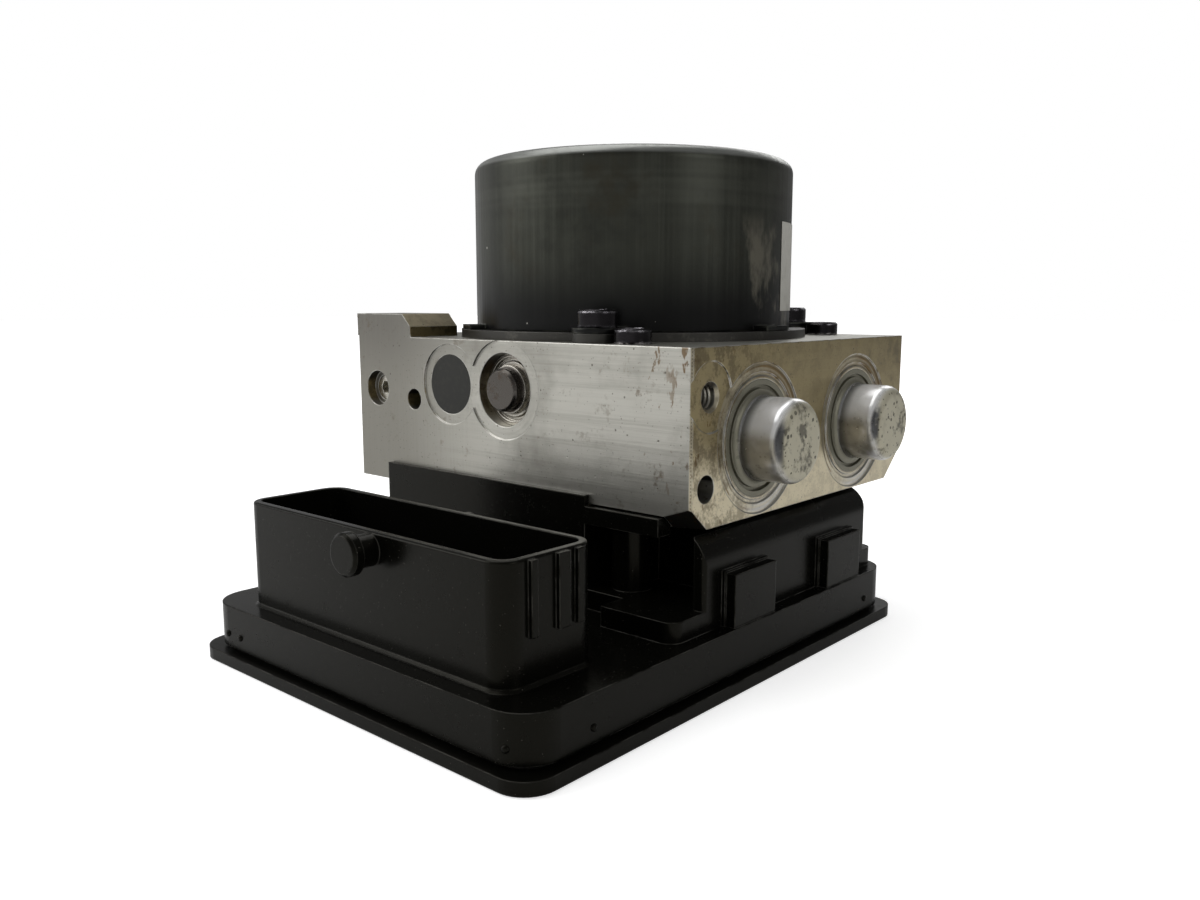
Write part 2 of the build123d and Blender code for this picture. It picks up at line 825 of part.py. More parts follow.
# Valve block: a machined bar with a bore for every piece that it holds
with BuildPart() as valve_block:
    with BuildSketch(Plane.XY.offset(block_bottom)):
        with Locations((-block_left, 0)):
            Rectangle(block_length, block_depth, align=(Align.MIN, Align.CENTER))
    extrude(amount=block_height)
    chamfer(valve_block.edges().filter_by(Axis.Z), block_edge)
    # lug on the front left corner
    with BuildSketch(top_face):
        with Locations((-block_left, -block_front)):
            Rectangle(lug_length, lug_depth, align=(Align.MIN, Align.MIN))
    extrude(amount=lug_height)
    lug_edge = valve_block.edges().filter_by(Axis.Y).group_by(Axis.Z)[-1].sort_by(Axis.X)[-1]
    chamfer(lug_edge, lug_chamfer)
    # step over the alcove, and the bevels of both lower corners on the right
    with BuildSketch(under_face):
        with Locations((step_right, block_front)):
            Rectangle(step_right - alcove_left + ease, step_depth, align=(Align.MAX, Align.MAX))
    extrude(amount=-step_height, mode=Mode.SUBTRACT)
    for side, rise in bevel_rises.items():
        corner = (block_right, side * block_front, block_bottom + rise)
        split(
            bisect_by=Plane(origin=corner, z_dir=(bevel_lean, side * bevel_out, -bevel_down)),
            keep=Keep.BOTTOM,
        )
    # bearing seat, crank chamber and motor feed
    with Locations(top_face):
        CounterBoreHole(crank_radius, front_bearing_radius, front_bearing_seat, block_top - crank_floor)
        with Locations(motor_feed):
            Hole(motor_leg_radius + slip, block_height)
        with PolarLocations(tall_screw_circle, tall_screw_count, tall_screw_angle):
            Hole(tall_shank_radius, tall_shank - plate_thickness - can_flange + thread_room)
        with Locations(*low_screws):
            Hole(low_shank_radius + ease, block_height)
    # stepped bores of the pump, from both sides
    for face in (front_face, rear_face):
        with Locations(face):
            with Locations((0, -pump_drop)):
                Hole(pump_ring_radius, spotface)
                Hole(plug_radius, block_front - sleeve_end)
                Hole(sleeve_radius, block_front - guide_start)
                Hole(piston_radius + ease, block_front - crank_radius / 2)
    # dampers, bleed screw and pilot hole
    for face, x in ((front_face, damper_front_x), (rear_face, -damper_rear_x)):
        with Locations(face):
            with Locations((x, -damper_drop)):
                CounterBoreHole(damper_radius, damper_ring, spotface, damper_depth)
    with Locations(front_face):
        with Locations((bleed_x, -bleed_drop)):
            CounterBoreHole(bleed_screw_radius, bleed_radius, bleed_recess, bleed_recess + bleed_hole)
        with Locations((pilot_x, -pilot_drop)):
            Hole(pilot_radius, pilot_depth)
    # accumulators and bracket holes on the right face
    with Locations(right_face):
        for y in store_sides.values():
            with Locations((y, -store_drop)):
                Hole(store_ring, spotface)
                CounterBoreHole(store_radius, store_seat_radius, store_seat_depth, store_depth)
        with Locations((bracket_y, -bracket_drop)):
            Hole(bracket_ring, spotface)
            CounterSinkHole(bracket_radius, bracket_mouth + spotface, bracket_depth, 90)
        with Locations((dowel_y, -dowel_drop)):
            Hole(dowel_radius, dowel_depth)
    with BuildSketch(right_face.offset(-spotface)):
        with Locations(*((y, -store_drop) for y in store_sides.values())):
            Circle(seat_ring_outer)
            Circle(seat_ring_inner, mode=Mode.SUBTRACT)
    extrude(amount=-seat_ring_depth, mode=Mode.SUBTRACT)
    # pipe ports and a bracket hole on the left face, feed ports on the rear face
    with Locations(left_face):
        for place in range(pipe_count):
            with Locations((-pipe_first - place * pipe_spacing, -port_drop)):
                CounterBoreHole(pipe_radius, pipe_spot, spotface, pipe_depth)
                Hole(drill_radius, pipe_depth + drill_length)
        with Locations((-left_bracket_y, -left_bracket_drop)):
            Hole(bracket_ring, spotface)
            CounterSinkHole(bracket_radius, bracket_mouth + spotface, bracket_depth, 90)
    with Locations(rear_face):
        for x in feed_places:
            with Locations((-x, -port_drop)):
                CounterBoreHole(feed_radius, feed_spot, spotface, feed_depth)
                Hole(drill_radius, feed_depth + feed_drill)
    # valve bores in the underside
    with Locations(under_face):
        for name, (x, y) in valve_places.items():
            nose_radius, nose = (inlet_nose_radius, inlet_nose) if name.startswith("inlet") else (
                outlet_nose_radius,
                outlet_nose,
            )
            with Locations((x, -y)):
                CounterBoreHole(valve_radius, valve_flange, valve_flange_height, valve_depth)
                Hole(nose_radius, valve_depth + nose)
keep(valve_block, "valve_block")

# Pump, once towards the front and once towards the rear
crank_centre = (0, 0, pump_level)
piston_tip = ring_reach + ease
piston_end = piston_tip + piston_length
head_end = piston_end + piston_head
room_start = guide_start + guide_length
room_end = sleeve_end - sleeve_floor
guide_radius = piston_radius + run_fit
plug_face = sleeve_end + plug_disc
plug_tip = block_front + plug_pin_proud
for side, along in pump_sides.items():
    keep(
        turned(
            crank_centre,
            along,
            (
                (guide_start, guide_radius),
                (guide_start, sleeve_radius),
                (sleeve_end, sleeve_radius),
                (sleeve_end, outlet_radius),
                (room_end, outlet_radius),
                (room_end, sleeve_room),
                (room_start, sleeve_room),
                (room_start, guide_radius),
            ),
        ),
        f"pump_sleeve_{side}",
    )
    keep(
        turned(
            crank_centre,
            along,
            (
                (piston_tip, 0),
                (piston_tip, piston_radius),
                (piston_end, piston_radius),
                (piston_end, piston_head_radius),
                (head_end, piston_head_radius),
                (head_end, 0),
            ),
        ),
        f"pump_piston_{side}",
    )
    keep(
        wire_spring(
            crank_centre,
            along,
            head_end + slip,
            room_end - head_end - 2 * slip,
            pump_spring_radius,
            pump_wire,
            pump_turns,
        ),
        f"pump_spring_{side}",
    )
    keep(
        turned(
            crank_centre,
            along,
            (
                (sleeve_end, 0),
                (sleeve_end, plug_radius),
                (plug_face, plug_radius),
                (plug_face, plug_groove_outer),
                (plug_face - plug_groove, plug_groove_outer),
                (plug_face - plug_groove, plug_groove_inner),
                (plug_face, plug_groove_inner),
                (plug_face, plug_collar_radius),
                (plug_face + plug_collar, plug_collar_radius),
                (plug_face + plug_collar, plug_pin_radius),
                (plug_tip - plug_pin_edge, plug_pin_radius),
                (plug_tip, plug_pin_radius - plug_pin_edge),
                (plug_tip, 0),
            ),
        ),
        f"pump_plug_{side}",
    )

# Accumulators: a cap staked in its seat, and a sealed piston on a spring
cap_end = block_right + cap_proud
store_floor = block_right - store_depth
piston_foot = store_floor + ease
for side, y in store_sides.items():
    axle = (0, y, store_level)
    seat_plane = Plane(origin=(block_right - store_seat_depth, y, store_level), z_dir=(1, 0, 0))
    with BuildPart() as cap:
        with BuildSketch(seat_plane):
            Circle(cap_radius)
        extrude(amount=store_seat_depth + cap_proud)
        with BuildSketch(seat_plane):
            Circle(store_seat_radius)
        extrude(amount=cap_flange)
        body_edges = cap.edges().filter_by(GeomType.CIRCLE).group_by(SortBy.RADIUS)[0].sort_by(Axis.X)
        fillet(body_edges[0], cap_flare)
        fillet(body_edges[-1], cap_round)
        with BuildSketch(seat_plane.offset(cap_flange)):
            Circle(cap_groove_outer)
            Circle(cap_groove_inner, mode=Mode.SUBTRACT)
        extrude(amount=-cap_groove, mode=Mode.SUBTRACT)
        with BuildSketch(seat_plane):
            Circle(cap_radius - cap_wall)
        extrude(amount=store_seat_depth + cap_proud - cap_wall, mode=Mode.SUBTRACT)
    keep(cap, f"accumulator_cap_{side}")
    slider = store_radius - run_fit
    groove_floor = slider - seal_groove_depth
    groove_start = piston_foot + seal_groove_start
    groove_end = groove_start + seal_groove_width
    spring_seat = piston_foot + store_piston_floor
    keep(
        turned(
            axle,
            (1, 0, 0),
            (
                (piston_foot, 0),
                (piston_foot, slider),
                (groove_start, slider),
                (groove_start, groove_floor),
                (groove_end, groove_floor),
                (groove_end, slider),
                (piston_foot + store_piston_length, slider),
                (piston_foot + store_piston_length, store_piston_bore),
                (spring_seat, store_piston_bore),
                (spring_seat, 0),
            ),
        ),
        f"accumulator_piston_{side}",
    )
    keep(
        turned(
            axle,
            (1, 0, 0),
            (
                (groove_start, groove_floor),
                (groove_start, slider),
                (groove_end, slider),
                (groove_end, groove_floor),
            ),
        ),
        f"accumulator_seal_{side}",
    )
    keep(
        wire_spring(
            axle,
            (1, 0, 0),
            spring_seat + slip,
            cap_end - cap_wall - spring_seat - 2 * slip,
            store_spring_radius,
            store_wire,
            store_turns,
        ),
        f"accumulator_spring_{side}",
    )

# Damper plugs and bleed screw
with BuildPart() as damper_plugs:
    for face, x in ((front_face, damper_front_x), (rear_face, -damper_rear_x)):
        with BuildSketch(face.offset(-spotface)):
            with Locations((x, -damper_drop)):
                Circle(damper_radius)
        extrude(amount=-damper_plug)
keep(damper_plugs, "damper_plugs")

with BuildPart() as bleed_screw:
    with BuildSketch(front_face.offset(-bleed_recess)):
        with Locations((bleed_x, -bleed_drop)):
            Circle(bleed_screw_radius)
    extrude(amount=-bleed_screw_length)
    with BuildSketch(front_face.offset(-bleed_recess)):
        with Locations((bleed_x, -bleed_drop)):
            RegularPolygon(bleed_socket, 6)
    extrude(amount=-bleed_socket_depth, mode=Mode.SUBTRACT)
keep(bleed_screw, "bleed_screw")

# Motor plate and can
with BuildPart() as motor_plate:
    with BuildSketch(top_face):
        Circle(plate_radius)
        with PolarLocations(tall_screw_circle, tall_screw_count, tall_screw_angle):
            Circle(ear_radius)
            Circle(tall_shank_radius, mode=Mode.SUBTRACT)
        Circle(front_bearing_radius, mode=Mode.SUBTRACT)
        with Locations(motor_feed):
            Circle(motor_leg_radius, mode=Mode.SUBTRACT)
    extrude(amount=plate_thickness)
keep(motor_plate, "motor_plate")

rear_bearing_top = can_top + boss_rise - can_wall
with BuildPart() as motor_can:
    with BuildSketch(Plane.XY.offset(plate_top)):
        Circle(motor_radius)
    extrude(amount=can_height)
    fillet(motor_can.edges().group_by(Axis.Z)[-1], can_round)
    with BuildSketch(Plane.XY.offset(can_top)):
        Circle(boss_radius)
    extrude(amount=boss_rise)
    fillet(motor_can.edges().group_by(Axis.Z)[-1], boss_round)
    # three screw ears and three locating tabs
    with BuildSketch(Plane.XY.offset(plate_top)):
        with PolarLocations(tall_screw_circle, tall_screw_count, tall_screw_angle):
            Circle(ear_radius)
        with PolarLocations(0, tall_screw_count, tall_screw_angle):
            Rectangle(tall_screw_circle, 2 * ear_radius, align=(Align.MIN, Align.CENTER))
        with PolarLocations(0, tall_screw_count):
            Rectangle(tab_radius, tab_width, align=(Align.MIN, Align.CENTER))
    extrude(amount=can_flange)
    # hollow, with a cup for the rear bearing
    with BuildSketch(Plane.XY.offset(plate_top)):
        Circle(motor_radius - can_wall)
    extrude(amount=can_height - can_wall, mode=Mode.SUBTRACT)
    with BuildSketch(Plane.XY.offset(can_top - can_wall)):
        Circle(rear_bearing_radius + cup_wall)
    extrude(amount=-cup_depth)
    with BuildSketch(Plane.XY.offset(rear_bearing_top)):
        Circle(rear_bearing_radius)
    extrude(amount=-rear_bearing_width, mode=Mode.SUBTRACT)
    with BuildSketch(Plane.XY.offset(plate_top)):
        with PolarLocations(tall_screw_circle, tall_screw_count, tall_screw_angle):
            Circle(tall_shank_radius)
    extrude(amount=can_flange, mode=Mode.SUBTRACT)
keep(motor_can, "motor_can")

# Magnets on the inside of the can
core_bottom = plate_top + core_base
core_top = core_bottom + core_length
magnet_outer = motor_radius - can_wall
magnet_inner = magnet_outer - magnet_thickness
with BuildPart() as magnets:
    with BuildSketch(Plane.XY.offset(core_bottom - magnet_overhang)):
        Circle(magnet_outer)
        Circle(magnet_inner, mode=Mode.SUBTRACT)
        with PolarLocations(0, magnet_count):
            Rectangle(motor_radius, magnet_space, align=(Align.MIN, Align.CENTER), mode=Mode.SUBTRACT)
    extrude(amount=core_length + 2 * magnet_overhang)
keep(magnets, "magnets")

# Rotor: shaft with its eccentric, slotted core, windings and commutator
core_radius = magnet_inner - magnet_gap
slot_depth = core_radius - slot_lip - slot_floor
eccentric_bottom = pump_level - eccentric_height / 2
eccentric_top = pump_level + eccentric_height / 2
journal_bottom = rear_bearing_top - rear_bearing_width - ease
with BuildPart() as rotor_shaft:
    with BuildSketch(Plane.XY.offset(eccentric_bottom)):
        with Locations((eccentric_offset, 0)):
            Circle(eccentric_radius)
    extrude(amount=eccentric_height)
    with BuildSketch(Plane.XY.offset(eccentric_top)):
        Circle(shaft_radius)
    extrude(amount=journal_bottom - eccentric_top)
    with BuildSketch(Plane.XY.offset(journal_bottom)):
        Circle(journal_radius)
    extrude(amount=rear_bearing_width)
keep(rotor_shaft, "rotor_shaft")

with BuildPart() as rotor_core:
    with BuildSketch(Plane.XY.offset(core_bottom)):
        Circle(core_radius)
        Circle(shaft_radius, mode=Mode.SUBTRACT)
        with PolarLocations(0, core_teeth):
            with Locations((slot_floor, 0)):
                Rectangle(slot_depth, slot_width, align=(Align.MIN, Align.CENTER), mode=Mode.SUBTRACT)
                Rectangle(core_radius, slot_mouth, align=(Align.MIN, Align.CENTER), mode=Mode.SUBTRACT)
    extrude(amount=core_length)
keep(rotor_core, "rotor_core")

with BuildPart() as rotor_winding:
    with BuildSketch(Plane.XY.offset(core_bottom)):
        with PolarLocations(0, core_teeth):
            with Locations((slot_floor, 0)):
                Rectangle(slot_depth, slot_width, align=(Align.MIN, Align.CENTER))
    extrude(amount=core_length)
    for level, rise in ((core_top, winding_overhang), (core_bottom, -winding_overhang)):
        with BuildSketch(Plane.XY.offset(level)):
            Circle(slot_floor + slot_depth)
            Circle(slot_floor, mode=Mode.SUBTRACT)
        extrude(amount=rise)
keep(rotor_winding, "rotor_winding")

with BuildPart() as commutator:
    with BuildSketch(Plane.XY.offset(plate_top + commutator_base)):
        Circle(commutator_radius)
        Circle(shaft_radius, mode=Mode.SUBTRACT)
        with PolarLocations(commutator_radius, commutator_bars):
            Rectangle(2 * bar_slot_depth, bar_slot, mode=Mode.SUBTRACT)
    extrude(amount=commutator_length)
keep(commutator, "commutator")

# Bearings, with recessed shields
rear_bearing_foot = rear_bearing_top - rear_bearing_width
for name, foot, bore, radius, width in (
    ("front_bearing", bearing_bottom, shaft_radius, front_bearing_radius, front_bearing_width),
    ("rear_bearing", rear_bearing_foot, journal_radius, rear_bearing_radius, rear_bearing_width),
):
    bore_radius = bore + run_fit
    keep(
        turned(
            (0, 0, foot),
            (0, 0, 1),
            (
                (0, bore_radius),
                (0, bore_radius + shield_inset),
                (shield_depth, bore_radius + shield_inset),
                (shield_depth, radius - shield_inset),
                (0, radius - shield_inset),
                (0, radius),
                (width, radius),
                (width, radius - shield_inset),
                (width - shield_depth, radius - shield_inset),
                (width - shield_depth, bore_radius + shield_inset),
                (width, bore_radius + shield_inset),
                (width, bore_radius),
            ),
        ),
        name,
    )

# Needle bearing ring that runs on the eccentric and pushes the pistons
with BuildPart() as eccentric_bearing:
    with BuildSketch(Plane.XY.offset(pump_level - ring_height / 2)):
        with Locations((eccentric_offset, 0)):
            Circle(ring_radius)
            Circle(eccentric_radius + run_fit, mode=Mode.SUBTRACT)
    extrude(amount=ring_height)
keep(eccentric_bearing, "eccentric_bearing")

# Brush holder: a plate with two guides, and a leg that carries the pins through the block
guide_start_x = commutator_radius + brush_guide_room
guide_width = brush_width + 2 * brush_guide_wall
brush_foot = plate_top + brush_plate + brush_guide_wall
leg_end = block_bottom - motor_leg_drop
with BuildPart() as brush_holder:
    with BuildSketch(Plane.XY.offset(plate_top)):
        Circle(motor_radius - can_wall - brush_plate_gap)
        Circle(brush_plate_bore, mode=Mode.SUBTRACT)
    extrude(amount=brush_plate)
    with BuildSketch(Plane.XY.offset(plate_top + brush_plate)):
        for turn in (0, 180):
            with PolarLocations(guide_start_x, 1, turn):
                Rectangle(brush_guide_length, guide_width, align=(Align.MIN, Align.CENTER))
    extrude(amount=brush_height + 2 * brush_guide_wall)
    with BuildSketch(Plane.XY.offset(brush_foot)):
        for turn in (0, 180):
            with PolarLocations(0, 1, turn):
                Rectangle(
                    guide_start_x + brush_guide_length - brush_guide_wall,
                    brush_width + 2 * run_fit,
                    align=(Align.MIN, Align.CENTER),
                )
    extrude(amount=brush_height + run_fit, mode=Mode.SUBTRACT)
    with BuildSketch(Plane.XY.offset(plate_top)):
        with Locations(motor_feed):
            Circle(motor_leg_radius)
    extrude(amount=leg_end - plate_top)
keep(brush_holder, "brush_holder")

with BuildPart() as carbon_brushes:
    with BuildSketch(Plane.XY.offset(brush_foot)):
        for turn in (0, 180):
            with PolarLocations(0, 1, turn):
                Rectangle(commutator_radius + brush_length, brush_width, align=(Align.MIN, Align.CENTER))
        Circle(commutator_radius + brush_gap, mode=Mode.SUBTRACT)
    extrude(amount=brush_height)
keep(carbon_brushes, "carbon_brushes")

with BuildPart() as motor_pins:
    with BuildSketch(Plane.XY.offset(board_top)):
        with Locations(motor_feed):
            with GridLocations(0, 2 * motor_pin_spread, 1, 2):
                Circle(motor_pin_radius)
    extrude(amount=leg_end - board_top)
keep(motor_pins, "motor_pins")

# Screws with hexagon sockets: three tall ones for the motor, three low ones for the electronics
with BuildPart() as motor_screws:
    with BuildSketch(Plane.XY.offset(plate_top + can_flange)):
        with PolarLocations(tall_screw_circle, tall_screw_count, tall_screw_angle):
            Circle(tall_head_radius)
    extrude(amount=tall_head)
    chamfer(motor_screws.edges().group_by(Axis.Z)[-1], head_edge)
    with BuildSketch(Plane.XY.offset(plate_top + can_flange + tall_head)):
        with PolarLocations(tall_screw_circle, tall_screw_count, tall_screw_angle):
            RegularPolygon(socket_radius, 6)
    extrude(amount=-socket_depth, mode=Mode.SUBTRACT)
    with BuildSketch(Plane.XY.offset(plate_top + can_flange)):
        with PolarLocations(tall_screw_circle, tall_screw_count, tall_screw_angle):
            Circle(tall_shank_radius)
    extrude(amount=-tall_shank)
keep(motor_screws, "motor_screws")

with BuildPart() as ecu_screws:
    with BuildSketch(top_face):
        with Locations(*low_screws):
            Circle(low_head_radius)
    extrude(amount=low_head)
    chamfer(ecu_screws.edges().group_by(Axis.Z)[-1], head_edge)
    with BuildSketch(top_face.offset(low_head)):
        with Locations(*low_screws):
            RegularPolygon(socket_radius, 6)
    extrude(amount=-socket_depth, mode=Mode.SUBTRACT)
    with BuildSketch(top_face):
        with Locations(*low_screws):
            Circle(low_shank_radius)
    extrude(amount=-block_height - low_shank_bite)
keep(ecu_screws, "ecu_screws")

for piece in pieces:
    export_step(piece, f"parts/{piece.label}.step")
print(len(pieces), "pieces written")
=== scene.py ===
import json
import math

import bpy
from mathutils import Matrix, Vector


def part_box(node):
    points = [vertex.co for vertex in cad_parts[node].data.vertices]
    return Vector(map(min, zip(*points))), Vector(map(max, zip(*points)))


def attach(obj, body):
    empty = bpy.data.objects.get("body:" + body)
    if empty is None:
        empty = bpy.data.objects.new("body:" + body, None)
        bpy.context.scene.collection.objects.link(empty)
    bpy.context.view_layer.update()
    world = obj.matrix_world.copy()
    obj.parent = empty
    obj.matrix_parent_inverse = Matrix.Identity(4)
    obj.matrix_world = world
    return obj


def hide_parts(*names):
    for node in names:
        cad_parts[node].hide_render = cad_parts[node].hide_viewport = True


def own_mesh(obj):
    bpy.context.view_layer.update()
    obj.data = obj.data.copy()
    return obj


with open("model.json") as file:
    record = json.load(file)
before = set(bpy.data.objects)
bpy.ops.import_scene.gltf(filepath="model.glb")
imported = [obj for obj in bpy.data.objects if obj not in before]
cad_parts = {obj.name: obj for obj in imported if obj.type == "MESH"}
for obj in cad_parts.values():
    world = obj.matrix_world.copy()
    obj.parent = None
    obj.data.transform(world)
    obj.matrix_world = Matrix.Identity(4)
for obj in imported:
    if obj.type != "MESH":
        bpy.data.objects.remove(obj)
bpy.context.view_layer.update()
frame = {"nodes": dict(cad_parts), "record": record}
nodes = frame["nodes"]
print("frame loaded:", len(nodes), "nodes")


# Small helpers for node trees

def feed(tree, value, socket):
    if isinstance(value, bpy.types.NodeSocket):
        tree.links.new(value, socket)
    else:
        socket.default_value = value


def calc(tree, operation, *values):
    node = tree.nodes.new("ShaderNodeMath")
    node.operation = operation
    for socket, value in zip(node.inputs, values):
        feed(tree, value, socket)
    return node.outputs[0]


def fold(tree, operation, values):  # any number of values joined by one operation
    result = values[0]
    for value in values[1:]:
        result = calc(tree, operation, result, value)
    return result


def times(tree, *values):
    return fold(tree, "MULTIPLY", values)


def vectorCalc(tree, operation, *values):
    node = tree.nodes.new("ShaderNodeVectorMath")
    node.operation = operation
    for socket, value in zip(node.inputs, values):
        feed(tree, value, socket)
    return node.outputs["Value" if operation in ("DOT_PRODUCT", "LENGTH") else "Vector"]


def ramp(tree, value, low, high, start=0.0, end=1.0):  # a smooth step between two levels
    node = tree.nodes.new("ShaderNodeMapRange")
    node.interpolation_type = "SMOOTHSTEP"
    sockets = ("Value", "From Min", "From Max", "To Min", "To Max")
    for socket, part in zip(sockets, (value, low, high, start, end)):
        feed(tree, part, node.inputs[socket])
    return node.outputs[0]


def tint(tree, under, over, *shares):  # the upper colour shows by the product of the shares
    node = tree.nodes.new("ShaderNodeMix")
    node.data_type = "RGBA"
    for socket, part in zip((0, 6, 7), (times(tree, *shares), under, over)):
        feed(tree, part, node.inputs[socket])
    return node.outputs[2]


def cloud(tree, vector, scale, detail=3.0, roughness=0.55):
    node = tree.nodes.new("ShaderNodeTexNoise")
    sockets = ("Vector", "Scale", "Detail", "Roughness")
    for socket, part in zip(sockets, (vector, scale, detail, roughness)):
        feed(tree, part, node.inputs[socket])
    return node.outputs[0]


def splitVector(tree, vector):
    node = tree.nodes.new("ShaderNodeSeparateXYZ")
    feed(tree, vector, node.inputs[0])
    return node.outputs


def surfaceNormal(tree):
    return tree.nodes.new("ShaderNodeNewGeometry").outputs["Normal"]


def facing(tree, axis, low, high):  # how far a surface turns to one side of the object
    return ramp(tree, splitVector(tree, surfaceNormal(tree))[axis], low, high)


def offCentre(tree, spot, centre, across):  # the way from an axis, flat in the plane across it
    return vectorCalc(tree, "MULTIPLY", vectorCalc(tree, "SUBTRACT", spot, centre), across)


def place(tree, group, **given):  # a shared group with this material's own values
    node = tree.nodes.new("ShaderNodeGroup")
    node.node_tree = group
    for socket, value in given.items():
        feed(tree, value, node.inputs[socket])
    return node.outputs


# Effects that several materials share

def makeGroup(name, inputs, outputs, build):
    group = bpy.data.node_groups.new(name, "ShaderNodeTree")
    for label, value in inputs.items():
        kind = "NodeSocketVector" if isinstance(value, tuple) else "NodeSocketFloat"
        socket = group.interface.new_socket(label, in_out="INPUT", socket_type=kind)
        socket.default_value = value
    for label in outputs:
        kind = "NodeSocketVector" if label == "Normal" else "NodeSocketFloat"
        group.interface.new_socket(label, in_out="OUTPUT", socket_type=kind)
    results = build(group, group.nodes.new("NodeGroupInput").outputs)
    end = group.nodes.new("NodeGroupOutput")
    for label, value in results.items():
        feed(group, value, end.inputs[label])
    return group


def roundedNormal(tree, radius):
    bevel = tree.nodes.new("ShaderNodeBevel")
    bevel.samples = 8
    feed(tree, radius, bevel.inputs["Radius"])
    return bevel.outputs[0]


def buildSoftEdge(tree, given):
    return {"Normal": roundedNormal(tree, given["Radius"])}


def buildEdgeWear(tree, given):
    rounded = roundedNormal(tree, given["Radius"])
    turn = vectorCalc(tree, "DOT_PRODUCT", rounded, surfaceNormal(tree))
    edge = ramp(tree, turn, 0.99, 0.82)
    broken = ramp(tree, cloud(tree, given["Vector"], given["Breakup"]), 0.36, 0.6)
    return {"Mask": times(tree, edge, broken, given["Amount"])}


def buildFineLines(tree, given):
    drawn = vectorCalc(tree, "MULTIPLY", given["Vector"], given["Stretch"])
    fine = times(tree, cloud(tree, drawn, 1.0, 5.0, 0.7), 0.6)
    broader = vectorCalc(tree, "MULTIPLY", drawn, (0.31, 0.31, 0.31))
    wide = times(tree, cloud(tree, broader, 1.0, 2.0, 0.5), 0.4)
    return {"Value": calc(tree, "ADD", fine, wide)}


def buildStain(tree, given):
    large = times(tree, cloud(tree, given["Vector"], given["Scale"], 4.0, 0.6), 0.7)
    finer = times(tree, given["Scale"], 5.3)
    small = times(tree, cloud(tree, given["Vector"], finer, 3.0, 0.6), 0.3)
    level = calc(tree, "SUBTRACT", 1.0, given["Cover"])
    top = calc(tree, "ADD", level, given["Softness"])
    return {"Mask": ramp(tree, calc(tree, "ADD", large, small), level, top)}


def buildSpecks(tree, given):
    cells = tree.nodes.new("ShaderNodeTexVoronoi")
    feed(tree, given["Vector"], cells.inputs["Vector"])
    feed(tree, given["Scale"], cells.inputs["Scale"])
    chance = splitVector(tree, cells.outputs["Color"])
    picked = ramp(tree, chance[0], given["Share"], times(tree, given["Share"], 0.8))
    size = times(tree, chance[1], 0.3)
    dot = ramp(tree, cells.outputs["Distance"], calc(tree, "ADD", size, 0.1), size)
    return {"Mask": times(tree, picked, dot)}


def buildTurnedRings(tree, given):
    offset = offCentre(tree, given["Vector"], given["Centre"], given["Across"])
    reach = vectorCalc(tree, "LENGTH", offset)
    inside = ramp(tree, reach, given["Outer"], calc(tree, "SUBTRACT", given["Outer"], 0.0002))
    wobble = times(tree, cloud(tree, given["Vector"], 60.0), 6.0)
    wave = calc(tree, "SINE", calc(tree, "ADD", times(tree, reach, given["Turns"]), wobble))
    return {"Mask": inside, "Height": times(tree, wave, inside)}


softEdge = makeGroup("softEdge", {"Radius": 0.0003}, ["Normal"], buildSoftEdge)
edgeWear = makeGroup(
    "edgeWear",
    {"Vector": (0, 0, 0), "Radius": 0.0004, "Breakup": 400.0, "Amount": 1.0},
    ["Mask"],
    buildEdgeWear,
)
fineLines = makeGroup(
    "fineLines",
    {"Vector": (0, 0, 0), "Stretch": (60, 60, 2600)},
    ["Value"],
    buildFineLines,
)
stain = makeGroup(
    "stain",
    {"Vector": (0, 0, 0), "Scale": 60.0, "Cover": 0.5, "Softness": 0.1},
    ["Mask"],
    buildStain,
)
specks = makeGroup(
    "specks",
    {"Vector": (0, 0, 0), "Scale": 900.0, "Share": 0.1},
    ["Mask"],
    buildSpecks,
)
turnedRings = makeGroup(
    "turnedRings",
    {
        "Vector": (0, 0, 0),
        "Centre": (0, 0, 0),
        "Across": (1, 0, 1),
        "Outer": 0.012,
        "Turns": 14000.0,
    },
    ["Mask", "Height"],
    buildTurnedRings,
)
print("shared groups built")


# The looks below give each effect's values in the order of these calls

def stained(tree, spot, scale, cover, softness):
    return place(tree, stain, Vector=spot, Scale=scale, Cover=cover, Softness=softness)["Mask"]


def specked(tree, spot, scale, share):
    return place(tree, specks, Vector=spot, Scale=scale, Share=share)["Mask"]


def wornEdge(tree, spot, radius, breakup, amount):
    return place(tree, edgeWear, Vector=spot, Radius=radius, Breakup=breakup, Amount=amount)["Mask"]


def lined(tree, spot, stretch):
    return place(tree, fineLines, Vector=spot, Stretch=stretch)["Value"]


def bumpUp(tree, shader, height, strength, depth, radius):  # relief laid over rounded edges
    bump = tree.nodes.new("ShaderNodeBump")
    bump.inputs["Strength"].default_value = strength
    bump.inputs["Distance"].default_value = depth
    feed(tree, height, bump.inputs["Height"])
    feed(tree, place(tree, softEdge, Radius=radius)["Normal"], bump.inputs["Normal"])
    feed(tree, bump.outputs[0], shader.inputs["Normal"])


def startMaterial(name):
    material = bpy.data.materials.new(name)
    material.use_nodes = True
    tree = material.node_tree
    shader = tree.nodes["Principled BSDF"]
    spot = tree.nodes.new("ShaderNodeTexCoord").outputs["Object"]
    return material, tree, shader, spot


def setSurface(tree, shader, colour, roughness, metal):
    feed(tree, colour, shader.inputs["Base Color"])
    feed(tree, roughness, shader.inputs["Roughness"])
    feed(tree, metal, shader.inputs["Metallic"])


